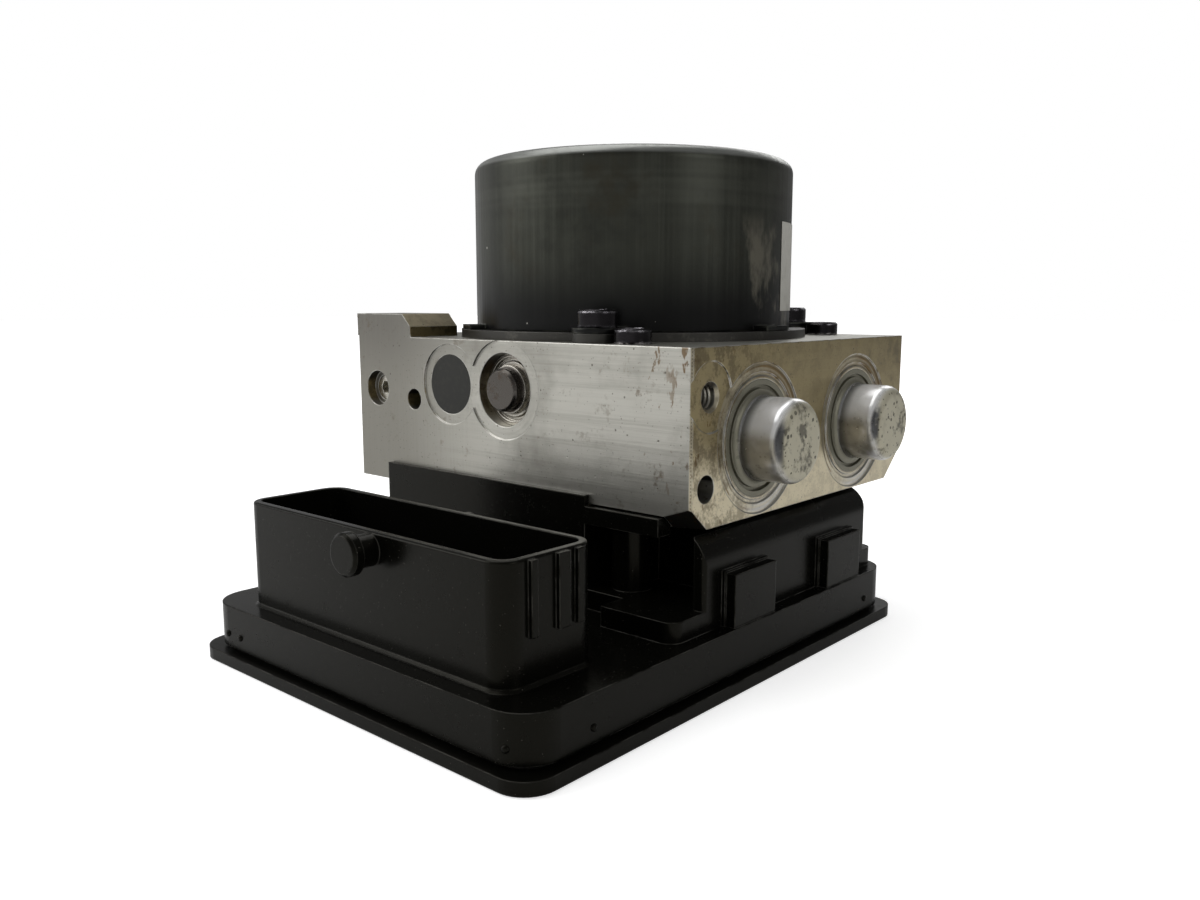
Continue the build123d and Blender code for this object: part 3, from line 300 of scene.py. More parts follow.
# Valve block: milled aluminium with turned seats, brown stains near the corner and small pits
blockLook = {
    "bright": (0.52, 0.51, 0.46, 1),
    "dull": (0.235, 0.225, 0.195, 1),
    "upperLeftShade": (0.115, 0.108, 0.098, 1),
    "warm": (0.33, 0.262, 0.120, 1),
    "grime": (0.105, 0.080, 0.045, 1),
    "tan": (0.135, 0.112, 0.066, 1),
    "lowerRightLight": (0.80, 0.72, 0.53, 1),
    "shade": (0.045, 0.042, 0.036, 1),
    "brown": (0.10, 0.058, 0.022, 1),
    "gold": (0.20, 0.125, 0.042, 1),
    "rust": (0.14, 0.075, 0.02, 1),
    "pit": (0.045, 0.034, 0.022, 1),
    "edge": (0.62, 0.61, 0.57, 1),
    "milled": (2600, 60, 60),  # fine lines
    "drawn": (40, 40, 2400),
    "clouds": (30.0, 0.56, 0.3),  # stains
    "mottles": (85.0, 0.52, 0.22),
    "spots": (190.0, 0.42, 0.12),
    "faintSpots": (210.0, 0.42, 0.1),
    "drops": (330.0, 0.41, 0.05),
    "dropStretch": (1.0, 1.0, 0.45),
    "gilding": (75.0, 0.55, 0.12),
    "soiling": (260.0, 0.55, 0.14),
    "nicks": (240.0, 0.42, 0.05),
    "nickStretch": (1.0, 1.0, 0.35),
    "pits": (1250.0, 0.06),  # specks
    "dots": (2400.0, 0.10),
    "pepper": (2600.0, 0.45),
    "wear": (0.0006, 300.0, 0.9),
    "burrBeads": 9200.0,
    "ringTurns": 5600.0,
    "ringDepth": (0.008, 0.007),  # how far behind the wall a seat's rings fade out
    "giltSide": (0, 0.72, 0.69),  # where round the cap seats the rings have gilded
    # where round the cap seats a painted highlight arc lies
    "highlightSide": (0, 0.50, -0.87),
    "arcBand": (0.0034, 0.0028),  # inwards from the outer ring
    "arcReach": (0.0085, 0.0135),
    "farReach": 0.035,  # metres from the block's far end, corner or edges
    "lowReach": 0.008,
    "cornerReach": (0.045, 0.030),
    "dropReach": (0.022, 0.004),
    "burrReach": (0.0004, 0.0002),
    "grimeReach": (0.034, 0.010),
    "nickReach": (0.010, 0.001),
    "roughness": (0.30, 0.46),
    "metal": 0.85,
    "bump": (0.3, 0.0002, 0.0004),
}
seats = {
    "accumulator_cap_front": {"outer": 0.0165, "out": (1, 0, 0)},
    "accumulator_cap_rear": {"outer": 0.0165, "out": (1, 0, 0)},
    "pump_plug_front": {"outer": 0.0117, "out": (0, -1, 0)},
    "pump_plug_rear": {"outer": 0.0117, "out": (0, 1, 0)},
}


def blockSpan():
    low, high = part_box("valve_block")
    return low, (low + high) / 2, high


def milledMetal(tree, spot):  # upright tool marks to the left, level ones elsewhere
    look = blockLook
    x, _, z = splitVector(tree, spot)
    low, middle, high = blockSpan()
    leftness = ramp(tree, x, middle.x + 0.01, low.x + 0.01)
    upright = times(tree, lined(tree, spot, look["milled"]), leftness)
    level = times(tree, lined(tree, spot, look["drawn"]), calc(tree, "SUBTRACT", 1.0, leftness))
    marks = calc(tree, "ADD", upright, level)
    clouds = times(tree, stained(tree, spot, *look["clouds"]), 0.8)
    dullness = calc(tree, "MAXIMUM", clouds, times(tree, leftness, 0.9))
    upperHalf = ramp(tree, z, middle.z, high.z, 0.0, 0.55)
    colour = tint(tree, look["bright"], look["dull"], dullness)
    # painted shade: the upper left of the block darkened grey
    colour = tint(tree, colour, look["upperLeftShade"], leftness, upperHalf)
    colour = tint(tree, colour, look["dull"], ramp(tree, marks, 0.44, 0.64, 0.0, 0.3))
    return colour, dullness, marks


def agedFaces(tree, spot, colour, rightFace):  # the right face yellowed, painted light on its lower half and painted shade on what looks down
    look = blockLook
    _, y, z = splitVector(tree, spot)
    low, middle, high = blockSpan()
    farEnd = ramp(tree, y, high.y - look["farReach"], high.y, 0.25, 0.8)
    lowerHalf = ramp(tree, z, middle.z, low.z + look["lowReach"], 0.0, 0.8)
    mottles = stained(tree, spot, *look["mottles"])
    colour = tint(tree, colour, look["warm"], rightFace, 0.9)
    colour = tint(tree, colour, look["tan"], mottles, rightFace, farEnd)
    # painted light: the lower half of the right face paler
    colour = tint(tree, colour, look["lowerRightLight"], rightFace, lowerHalf)
    # painted shade on the faces that look down
    return tint(tree, colour, look["shade"], facing(tree, 2, -0.25, -0.6))


def stainedCorner(tree, spot, colour):  # brown spots, rust in drops and a dotted burr
    look = blockLook
    x, y, z = splitVector(tree, spot)
    low, _, high = blockSpan()
    leftwards, backwards = look["cornerReach"]
    nearFront = times(tree, ramp(tree, y, low.y + backwards, low.y), 0.6)
    nearRight = ramp(tree, x, high.x - leftwards, high.x)
    corner = times(tree, nearRight, calc(tree, "ADD", nearFront, 0.4))
    colour = tint(tree, colour, look["brown"], stained(tree, spot, *look["spots"]), corner, 0.75)
    colour = tint(tree, colour, look["brown"], stained(tree, spot, *look["faintSpots"]), 0.3)

    fromRight, fromFront = calc(tree, "SUBTRACT", high.x, x), calc(tree, "SUBTRACT", y, low.y)
    fromEdge = calc(tree, "MAXIMUM", fromRight, fromFront)
    upright = vectorCalc(tree, "MULTIPLY", spot, look["dropStretch"])
    drops = stained(tree, upright, *look["drops"])
    dropped = ramp(tree, fromEdge, *look["dropReach"], 0.0, 0.9)
    colour = tint(tree, colour, look["rust"], drops, dropped)
    beads = ramp(tree, calc(tree, "SINE", times(tree, z, look["burrBeads"])), -0.6, 0.5)
    burr = times(tree, ramp(tree, fromEdge, *look["burrReach"]), beads)
    return tint(tree, colour, look["pit"], burr, 0.75)


def findSeats():
    found = []
    blockLow, _, blockHigh = blockSpan()
    for name, seat in seats.items():
        low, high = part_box(name)
        out = Vector(seat["out"])
        found.append({
            **seat,
            "centre": (low + high) / 2,
            "across": tuple(1 - abs(part) for part in seat["out"]),
            "wall": max(blockLow.dot(out), blockHigh.dot(out)),
        })
    return found


def nearWall(tree, spot, seat):  # keeps a seat's rings on its own wall of the block
    along = vectorCalc(tree, "DOT_PRODUCT", spot, seat["out"])
    return ramp(tree, along, *(seat["wall"] - depth for depth in blockLook["ringDepth"]))


def seatArc(tree, spot, side):  # the outer band of each cap seat, to one side of its centre
    arcs = []
    for seat in findSeats():
        if seat["out"] != (1, 0, 0):
            continue
        outer = seat["outer"]
        offset = offCentre(tree, spot, seat["centre"], seat["across"])
        reach = vectorCalc(tree, "LENGTH", offset)
        beyond = ramp(tree, reach, *(outer - inwards for inwards in blockLook["arcBand"]))
        within = ramp(tree, reach, outer, outer - 0.0003)
        sideways = vectorCalc(tree, "DOT_PRODUCT", offset, side)
        aside = ramp(tree, sideways, *blockLook["arcReach"])
        arcs.append(times(tree, beyond, within, nearWall(tree, spot, seat), aside))
    return fold(tree, "MAXIMUM", arcs)


def turnedSeats(tree, spot, colour, rightFace):  # rings round the seats, some gilded, some bright with a painted highlight arc
    look = blockLook
    waves, insides = [], []
    for seat in findSeats():
        given = {"Centre": seat["centre"], "Across": seat["across"], "Outer": seat["outer"]}
        ring = place(tree, turnedRings, Vector=spot, Turns=look["ringTurns"], **given)
        near = nearWall(tree, spot, seat)
        waves.append(times(tree, ring["Height"], near))
        insides.append(times(tree, ring["Mask"], near))
    ripples = fold(tree, "ADD", waves)
    crests = ramp(tree, ripples, 0.1, 0.9)
    gilding = stained(tree, spot, *look["gilding"])
    giltArc = seatArc(tree, spot, look["giltSide"])
    highlightArc = seatArc(tree, spot, look["highlightSide"])
    colour = tint(tree, colour, look["bright"], fold(tree, "MAXIMUM", insides), 0.3)
    colour = tint(tree, colour, look["gold"], crests, gilding, rightFace, 0.8)
    colour = tint(tree, colour, look["gold"], giltArc, ramp(tree, ripples, -0.7, 0.5, 0.25, 0.85))
    # painted highlight: a bright arc on the lower side of each cap seat
    colour = tint(tree, colour, look["edge"], highlightArc, ramp(tree, ripples, -0.8, 0.3, 0.35, 0.9))
    return colour, waves


def soiledMetal(tree, spot, colour, rightFace):  # grime, pits, nicks and rubbed edges
    look = blockLook
    x, y, _ = splitVector(tree, spot)
    low, _, high = blockSpan()
    nearFront = ramp(tree, y, *(low.y + reach for reach in look["grimeReach"]), 0.2, 0.62)
    soiling = stained(tree, spot, *look["soiling"])
    colour = tint(tree, colour, look["grime"], soiling, rightFace, nearFront)
    pits = specked(tree, spot, *look["pits"])
    colour = tint(tree, colour, look["pit"], pits, 0.6)
    colour = tint(tree, colour, look["pit"], specked(tree, spot, *look["dots"]), 0.4)

    frontEdge = ramp(tree, x, *(high.x - reach for reach in look["nickReach"]), 0.0, 0.85)
    nicks = stained(tree, vectorCalc(tree, "MULTIPLY", spot, look["nickStretch"]), *look["nicks"])
    colour = tint(tree, colour, look["rust"], nicks, facing(tree, 1, -0.5, -0.9), frontEdge)
    patches = ramp(tree, cloud(tree, spot, 90.0), 0.42, 0.62, 0.15, 0.8)
    pepper = specked(tree, spot, *look["pepper"])
    colour = tint(tree, colour, look["pit"], pepper, rightFace, patches)
    return tint(tree, colour, look["edge"], wornEdge(tree, spot, *look["wear"])), pits


def blockMaterial():
    look = blockLook
    material, tree, shader, spot = startMaterial("milledAluminium")
    rightFace = facing(tree, 0, 0.5, 0.9)
    colour, dullness, marks = milledMetal(tree, spot)
    colour = agedFaces(tree, spot, colour, rightFace)
    colour = stainedCorner(tree, spot, colour)
    colour, waves = turnedSeats(tree, spot, colour, rightFace)
    colour, pits = soiledMetal(tree, spot, colour, rightFace)
    roughness = ramp(tree, dullness, 0.0, 1.0, *look["roughness"])
    setSurface(tree, shader, colour, roughness, look["metal"])
    relief = [times(tree, marks, 0.6)] + [times(tree, wave, 0.2) for wave in waves]
    height = calc(tree, "SUBTRACT", fold(tree, "ADD", relief), pits)
    bumpUp(tree, shader, height, *look["bump"])
    return material


# Motor can: drawn steel, dark grey green, with fine upright streaks and faint bands
canLook = {
    "base": (0.041, 0.043, 0.034, 1),
    "light": (0.080, 0.083, 0.067, 1),
    "dark": (0.004, 0.004, 0.0045, 1),
    "olive": (0.040, 0.036, 0.024, 1),
    "smear": (0.20, 0.185, 0.145, 1),
    "wornAndLitRim": (0.27, 0.277, 0.26, 1),
    "chip": (0.45, 0.44, 0.40, 1),
    "streaks": (700, 700, 10),  # fine lines
    "bands": (6, 6, 190),
    "blotches": (34.0, 0.5, 0.25),  # stains
    "hues": (48.0, 0.5, 0.2),
    "smears": (60.0, 0.5, 0.12),
    "smearStretch": (1.0, 1.0, 0.5),
    "smearSide": (0.0355, 0.0380),  # just before the label's near edge
    "chips": (620.0, 0.006),  # specks
    "wear": (0.0012, 180.0, 0.8),
    "upperReach": (0.022, 0.012),  # metres from the can's top
    "footReach": (0.020, 0.003),  # metres from its foot
    "smearReach": (0.028, 0.020),
    "shoulder": (0.1097, 0.1105),
    "roughness": (0.30, 0.44),
    "metal": 0.75,
    "bump": (0.12, 0.0002, 0.0006),
}


def canMaterial():
    look = canLook
    material, tree, shader, spot = startMaterial("passivatedSteel")
    x, _, z = splitVector(tree, spot)
    low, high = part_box("motor_can")
    streaks = lined(tree, spot, look["streaks"])
    bands = cloud(tree, vectorCalc(tree, "MULTIPLY", spot, look["bands"]), 1.0, 2.0)
    upper = ramp(tree, z, *(high.z - reach for reach in look["upperReach"]))
    foot = ramp(tree, z, *(low.z + reach for reach in look["footReach"]), 0.0, 0.92)
    blotches = stained(tree, spot, *look["blotches"])
    colour = tint(tree, look["base"], look["light"], ramp(tree, streaks, 0.40, 0.66, 0.0, 0.4))
    colour = tint(tree, colour, look["light"], ramp(tree, bands, 0.46, 0.62), upper, 0.5)
    colour = tint(tree, colour, look["olive"], stained(tree, spot, *look["hues"]), 0.8)
    colour = tint(tree, colour, look["dark"], blotches, 0.5)
    # painted shade darkening the can towards its foot
    colour = tint(tree, colour, look["dark"], foot)

    # a pale smear beside the label, and the shoulder rubbed bright, partly a painted reflection of
    # the ceiling light
    upright = vectorCalc(tree, "MULTIPLY", spot, look["smearStretch"])
    smears = stained(tree, upright, *look["smears"])
    sideways = ramp(tree, x, *look["smearSide"])
    lower = ramp(tree, z, *(low.z + reach for reach in look["smearReach"]))
    colour = tint(tree, colour, look["smear"], smears, sideways, lower, 0.8)
    colour = tint(tree, colour, look["light"], wornEdge(tree, spot, *look["wear"]))
    # the shoulder band is rubbed metal and a painted reflection of the ceiling light
    atShoulder = ramp(tree, z, *look["shoulder"])
    rubbedAndLit = ramp(tree, blotches, 0.0, 1.0, 0.95, 0.6)
    colour = tint(tree, colour, look["wornAndLitRim"], atShoulder, facing(tree, 2, 0.97, 0.80), rubbedAndLit)
    colour = tint(tree, colour, look["chip"], specked(tree, spot, *look["chips"]))
    roughness = ramp(tree, streaks, 0.4, 0.65, *look["roughness"])
    setSurface(tree, shader, colour, roughness, look["metal"])
    bumpUp(tree, shader, calc(tree, "ADD", streaks, bands), *look["bump"])
    return material


# Accumulator caps: bright zinc, yellowish and pitted on the end
capLook = {
    "zinc": (1.0, 1.0, 1.0, 1),
    "lowerFlankReflection": (0.27, 0.24, 0.165, 1),
    "yellow": (0.43, 0.39, 0.24, 1),
    "stain": (0.19, 0.165, 0.10, 1),
    "smudge": (0.075, 0.068, 0.05, 1),
    "dark": (0.035, 0.038, 0.048, 1),
    "flange": (0.25, 0.24, 0.185, 1),
    "pit": (0.05, 0.045, 0.03, 1),
    "blotches": (140.0, 0.5, 0.25),  # stains
    "patches": (110.0, 0.52, 0.3),
    "smudges": (150.0, 0.46, 0.1),
    "finePits": (1150.0, 0.5),  # specks
    "widePits": (700.0, 0.3),
    "faceReach": (0.0016, 0.0003),  # metres from the cap's end
    "flangeEnd": 0.0530,
    "footReach": (0.0032, 0.0008),  # metres out from the flange
    "shadedSide": (0.70, -0.70, 0.05),
    "roughness": (0.25, 0.44),
    "metal": 0.45,
    "bump": (0.16, 0.0002, 0.0003),
}


def capMaterial():
    look = capLook
    material, tree, shader, spot = startMaterial("zincPlate")
    x = splitVector(tree, spot)[0]
    end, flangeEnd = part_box("accumulator_cap_front")[1].x, look["flangeEnd"]
    face = ramp(tree, x, *(end - reach for reach in look["faceReach"]))
    blotches = times(tree, stained(tree, spot, *look["blotches"]), 0.35)
    aged = calc(tree, "MAXIMUM", times(tree, face, 0.8), blotches)
    uneven = ramp(tree, cloud(tree, spot, 120.0), 0.25, 0.55)
    lower = times(tree, facing(tree, 2, 0.45, 0.0), uneven)
    smudged = calc(tree, "ADD", times(tree, face, 0.6), 0.2)
    colour = tint(tree, look["zinc"], look["yellow"], aged)
    # painted reflection of the block's tan face on the flanks that turn down
    colour = tint(tree, colour, look["lowerFlankReflection"], lower, calc(tree, "SUBTRACT", 0.85, face))
    colour = tint(tree, colour, look["stain"], stained(tree, spot, *look["patches"]), face, 0.7)
    colour = tint(tree, colour, look["smudge"], stained(tree, spot, *look["smudges"]), smudged)

    # a painted dark reflection on the rounding of the near side, a painted shadow line at the foot,
    # and the flange behind it
    turned = vectorCalc(tree, "DOT_PRODUCT", surfaceNormal(tree), look["shadedSide"])
    patchy = ramp(tree, cloud(tree, spot, 320.0), 0.3, 0.5, 0.35, 0.9)
    shaded = times(tree, ramp(tree, turned, 0.86, 0.97), patchy)
    foot = ramp(tree, x, *(flangeEnd + reach for reach in look["footReach"]), 0.0, 0.6)
    dark = calc(tree, "MAXIMUM", shaded, foot)
    flange = ramp(tree, x, flangeEnd + 0.0004, flangeEnd)
    # painted dark reflection and painted shadow line, in the dark colour
    colour = tint(tree, colour, look["dark"], dark)
    colour = tint(tree, colour, look["flange"], flange)

    fine, wide = specked(tree, spot, *look["finePits"]), specked(tree, spot, *look["widePits"])
    pitted = calc(tree, "ADD", times(tree, face, 0.6), times(tree, lower, 0.3))
    pits = times(tree, calc(tree, "MAXIMUM", fine, wide), pitted)
    colour = tint(tree, colour, look["pit"], pits)
    roughness = ramp(tree, calc(tree, "MAXIMUM", aged, flange), 0.0, 1.0, *look["roughness"])
    metal = calc(tree, "ADD", look["metal"], times(tree, dark, 0.4))
    setSurface(tree, shader, colour, roughness, metal)
    bumpUp(tree, shader, calc(tree, "SUBTRACT", cloud(tree, spot, 260.0, 4.0), pits), *look["bump"])
    return material


# Housing and cover: satin black plastic with a fine grain, rubbed edges lightened also as painted
# edge highlights, and dust
plasticLook = {
    "black": (0.0024, 0.0024, 0.0018, 1),
    "rubbedAndLit": (0.075, 0.073, 0.066, 1),
    "dust": (0.07, 0.066, 0.058, 1),
    "pore": (0.0012, 0.0012, 0.001, 1),
    "tint": (1.0, 0.96, 0.78, 1),
    "sheen": (55.0, 0.5, 0.35),  # stains
    "blisters": (520.0, 0.36, 0.06),
    "smudges": (240.0, 0.45, 0.2),
    "wear": (0.0005, 170.0, 0.8),
    "grainScale": 2600.0,
    "dustScale": 3400.0,
    "specular": 0.12,
    "bump": (0.12, 0.0001, 0.00045),
}
plastics = {
    "housing_plastic": {"name": "housingPlastic", "roughness": 0.24, "dustShare": 0.03},
    "cover_plastic": {"name": "coverPlastic", "roughness": 0.30, "dustShare": 0.02},
}


def plasticMaterial(name, roughness, dustShare):
    look = plasticLook
    material, tree, shader, spot = startMaterial(name)
    smudges = stained(tree, spot, *look["smudges"])
    dust = specked(tree, spot, look["dustScale"], dustShare)
    colour = tint(tree, look["black"], look["pore"], smudges, 0.6)
    # rubbed edges, lightened also as painted edge highlights
    colour = tint(tree, colour, look["rubbedAndLit"], wornEdge(tree, spot, *look["wear"]))
    colour = tint(tree, colour, look["dust"], dust)
    sheen = ramp(tree, stained(tree, spot, *look["sheen"]), 0.0, 1.0, roughness, roughness + 0.1)
    setSurface(tree, shader, colour, calc(tree, "ADD", sheen, times(tree, smudges, 0.12)), 0.0)
    shader.inputs["Specular IOR Level"].default_value = look["specular"]
    shader.inputs["Specular Tint"].default_value = look["tint"]
    blistered = ramp(tree, cloud(tree, spot, 70.0), 0.5, 0.6)
    blisters = times(tree, stained(tree, spot, *look["blisters"]), blistered)
    raised = calc(tree, "ADD", times(tree, dust, 2.0), times(tree, blisters, 3.5))
    height = calc(tree, "ADD", cloud(tree, spot, look["grainScale"], 2.0), raised)
    bumpUp(tree, shader, height, *look["bump"])
    return material


# Plain finishes, each with its own fine structure
plainLook = {  # what a finish below doesn't say itself
    "metal": 1.0,
    "cover": 0.5,
    "softness": 0.2,
    "rounding": 0.0004,
    "breakup": 500.0,
    "wear": 0.6,
    "edge": 0.0002,
    "relief": (0.08, 0.0001),
}
finishes = {
    "screw_steel": {
        "name": "oiledSteel", "base": (0.022, 0.020, 0.022, 1), "mark": (0.012, 0.011, 0.012, 1),
        "worn": (0.85, 0.82, 0.87, 1), "rounding": 0.0014, "wear": 0.95,
        "roughness": 0.20, "metal": 0.9, "cover": 0.46, "scale": 420.0, "edge": 0.0009,
    },
    "bleed_steel": {
        "name": "bleedSteel", "base": (0.52, 0.50, 0.44, 1), "mark": (0.26, 0.23, 0.17, 1),
        "roughness": 0.24, "metal": 0.95, "cover": 0.46, "scale": 520.0, "edge": 0.0003,
    },
    "damper_grey": {
        "name": "damperCoat", "base": (0.034, 0.034, 0.030, 1), "mark": (0.060, 0.058, 0.050, 1),
        "roughness": 0.66, "metal": 0.3, "scale": 900.0, "edge": 0.0003,
    },
    "plate_steel": {
        "name": "plateSteel", "base": (0.055, 0.053, 0.048, 1), "mark": (0.12, 0.115, 0.10, 1),
        "roughness": 0.4, "metal": 0.8, "cover": 0.48, "scale": 240.0, "edge": 0.0003,
    },
    "bearing_steel": {
        "name": "bearingSteel", "base": (0.55, 0.55, 0.55, 1), "mark": (0.40, 0.40, 0.40, 1),
        "roughness": 0.18, "cover": 0.45, "scale": 200.0,
    },
    "shaft_steel": {
        "name": "groundSteel", "base": (0.58, 0.58, 0.57, 1), "mark": (0.42, 0.42, 0.41, 1),
        "roughness": 0.22, "cover": 0.45, "scale": 240.0,
    },
    "spring_steel": {
        "name": "springSteel", "base": (0.30, 0.30, 0.31, 1), "mark": (0.16, 0.15, 0.15, 1),
        "roughness": 0.32, "cover": 0.45, "scale": 400.0,
    },
    "valve_steel": {
        "name": "turnedSteel", "base": (0.60, 0.60, 0.58, 1), "mark": (0.46, 0.46, 0.44, 1),
        "roughness": 0.25, "cover": 0.45, "scale": 300.0,
    },
    "yoke_steel": {
        "name": "drawnSteel", "base": (0.50, 0.50, 0.48, 1), "mark": (0.38, 0.37, 0.34, 1),
        "roughness": 0.34, "scale": 200.0,
    },
    "core_iron": {
        "name": "stackedSheet", "base": (0.20, 0.20, 0.20, 1), "mark": (0.12, 0.10, 0.09, 1),
        "roughness": 0.5, "metal": 0.9, "scale": 260.0,
    },
    "copper": {
        "name": "copperWire", "base": (0.70, 0.33, 0.17, 1), "mark": (0.42, 0.18, 0.09, 1),
        "roughness": 0.3, "scale": 700.0,
    },
    "magnet_ferrite": {
        "name": "ferrite", "base": (0.06, 0.06, 0.062, 1), "mark": (0.10, 0.10, 0.10, 1),
        "roughness": 0.7, "metal": 0.2, "scale": 500.0, "edge": 0.0003,
    },
    "brush_carbon": {
        "name": "carbon", "base": (0.035, 0.035, 0.035, 1), "mark": (0.07, 0.07, 0.07, 1),
        "roughness": 0.55, "metal": 0.2, "scale": 800.0,
    },
    "holder_plastic": {
        "name": "brownPlastic", "base": (0.16, 0.12, 0.08, 1), "mark": (0.12, 0.09, 0.06, 1),
        "roughness": 0.5, "metal": 0.0, "scale": 90.0, "edge": 0.0003,
    },
    "seal_rubber": {
        "name": "sealRubber", "base": (0.018, 0.018, 0.018, 1), "mark": (0.04, 0.04, 0.04, 1),
        "roughness": 0.6, "metal": 0.0, "cover": 0.45, "scale": 500.0, "edge": 0.0003,
    },
    "board_green": {
        "name": "solderMask", "base": (0.02, 0.11, 0.05, 1), "mark": (0.03, 0.16, 0.07, 1),
        "roughness": 0.3, "metal": 0.0, "scale": 160.0,
    },
    "chip_black": {
        "name": "chipBlack", "base": (0.02, 0.02, 0.021, 1), "mark": (0.035, 0.035, 0.036, 1),
        "roughness": 0.5, "metal": 0.0, "scale": 700.0,
    },
    "capacitor_can": {
        "name": "canAluminium", "base": (0.62, 0.62, 0.64, 1), "mark": (0.50, 0.50, 0.52, 1),
        "roughness": 0.25, "cover": 0.45, "scale": 180.0, "edge": 0.0003,
    },
    "contact_tin": {
        "name": "tinPlate", "base": (0.66, 0.64, 0.58, 1), "mark": (0.45, 0.42, 0.36, 1),
        "roughness": 0.25, "scale": 800.0, "edge": 0.0001,
    },
    "coil_bobbin": {
        "name": "coilPlastic", "base": (0.05, 0.05, 0.055, 1), "mark": (0.08, 0.08, 0.085, 1),
        "roughness": 0.45, "metal": 0.0, "scale": 300.0,
    },
    "piston_aluminium": {
        "name": "hardCoat", "base": (0.34, 0.34, 0.33, 1), "mark": (0.26, 0.26, 0.25, 1),
        "roughness": 0.38, "metal": 0.8, "scale": 240.0, "edge": 0.0003,
    },
}


def plainMaterial(finish):
    look = {**plainLook, **finish}
    material, tree, shader, spot = startMaterial(look["name"])
    blotches = stained(tree, spot, look["scale"], look["cover"], look["softness"])
    worn = wornEdge(tree, spot, look["rounding"], look["breakup"], look["wear"])
    bright = tuple(min(1.0, 1.9 * part + 0.02) for part in look["base"][:3]) + (1,)
    colour = tint(tree, look["base"], look["mark"], blotches)
    colour = tint(tree, colour, look.get("worn", bright), worn)
    roughness = ramp(tree, blotches, 0.0, 1.0, look["roughness"], look["roughness"] + 0.14)
    setSurface(tree, shader, colour, roughness, look["metal"])
    bumpUp(tree, shader, cloud(tree, spot, look["scale"] * 4, 3.0), *look["relief"], look["edge"])
    return material


# Pump plugs: a dull pin in bright turned rings, with grime between them
plugLook = {
    "pin": (0.095, 0.087, 0.078, 1),
    "rust": (0.075, 0.052, 0.035, 1),
    "ring": (0.42, 0.40, 0.355, 1),
    "grime": (0.09, 0.066, 0.040, 1),
    "blotches": (300.0, 0.5, 0.2),  # stains
    "pinRadius": 0.0051,
    "outer": 0.0090,
    "ringTurns": 9500.0,
    "roughness": (0.26, 0.42),
    "metal": 0.9,
    "bump": (0.12, 0.0001, 0.0004),
}


def plugMaterial():
    look = plugLook
    material, tree, shader, spot = startMaterial("plugSteel")
    low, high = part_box("pump_plug_front")
    middle = (low + high) / 2
    reach = vectorCalc(tree, "LENGTH", offCentre(tree, spot, middle, (1, 0, 1)))
    onRing = ramp(tree, reach, look["pinRadius"], look["pinRadius"] + 0.0003)
    blotches = stained(tree, spot, *look["blotches"])
    given = {"Centre": middle, "Outer": look["outer"], "Turns": look["ringTurns"]}
    turned = place(tree, turnedRings, Vector=spot, **given)["Height"]
    colour = tint(tree, look["pin"], look["rust"], blotches, 0.7)
    colour = tint(tree, colour, look["ring"], onRing)
    colour = tint(tree, colour, look["grime"], ramp(tree, turned, 0.2, 0.9), onRing, 0.55)
    roughness = ramp(tree, blotches, 0.0, 1.0, *look["roughness"])
    setSurface(tree, shader, colour, roughness, look["metal"])
    bumpUp(tree, shader, calc(tree, "ADD", blotches, times(tree, turned, onRing)), *look["bump"])
    return material


ownFinish = {"bleed_screw": "bleed_steel"}  # nodes whose finish differs from the rest of their slot


def dressNodes():
    made = {slot: plainMaterial(finish) for slot, finish in finishes.items()}
    made.update({slot: plasticMaterial(**plastic) for slot, plastic in plastics.items()})
    made["block_aluminium"] = blockMaterial()
    made["can_steel"] = canMaterial()
    made["cap_zinc"] = capMaterial()
    made["plug_steel"] = plugMaterial()
    for part in frame["record"]["subparts"]:
        mesh = nodes[part["node"]].data
        mesh.materials.clear()
        mesh.materials.append(made[ownFinish.get(part["node"], part["material_slot"])])
    return made


materials = dressNodes()
print("materials built:", len(materials))


# Pieces that the solids don't have

def addObject(name, data):
    made = bpy.data.objects.new(name, data)
    bpy.context.scene.collection.objects.link(made)
    return made


def addPiece(name, points, faces, slot, smooth=True, material=None):
    mesh = bpy.data.meshes.new(name)
    mesh.from_pydata(points, [], faces)
    mesh.validate()
    mesh.update()
    for face in mesh.polygons:
        face.use_smooth = smooth
    mesh.materials.append(material or materials[slot])
    piece = addObject(name, mesh)
    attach(piece, "unit")
    return piece


def circleRay(out, turn):  # a unit vector that turns round the given axis
    side = out.orthogonal().normalized()
    return side * math.cos(turn) + out.cross(side) * math.sin(turn)


# Springs, each copied into a coil of its own on the unit, the solid hidden
springs = {  # joint that presses it, way the joint moves
    "accumulator_spring_front": ("accumulator_front_stroke", (1, 0, 0)),
    "accumulator_spring_rear": ("accumulator_rear_stroke", (1, 0, 0)),
    "pump_spring_front": ("pump_front_stroke", (0, -1, 0)),
    "pump_spring_rear": ("pump_rear_stroke", (0, 1, 0)),
}


def addSprings():
    for node, (joint, way) in springs.items():
        coil = addObject(node + "_coil", nodes[node].data.copy())
        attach(coil, "unit")
        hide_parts(node)
        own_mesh(coil)


addSprings()

# Threads in the bracket holes and pipe ports
threads = {
    "pitch": 0.0010,
    "crest": {"bracket_thread": 0.00036, "pipe_port": 0.00032, "feed_port": 0.00032},
    "root": 0.00002,  # how far the foot sits in the wall
    "start": 0.6,  # pitches from the mouth to the first turn
    "mouth": {2.5: 0.00105, 4.5: 0.0004, 5.5: 0.0004},  # depth of the mouth for each radius in mm
    "steps": 36,  # points round each turn
}


def threadMouth(mount):  # the outer end of the threaded wall
    spot, out = Vector(mount["pos_m"]), Vector(mount["axis"])
    low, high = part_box("valve_block")
    depth = threads["mouth"][mount["dims"]["r_mm"]]
    if abs(out.x) > 0.5:
        wall = high.x if out.x > 0 else low.x
        return Vector((wall - out.x * depth, spot.y, spot.z))
    wall = high.y if out.y > 0 else low.y
    return Vector((spot.x, wall - out.y * depth, spot.z))


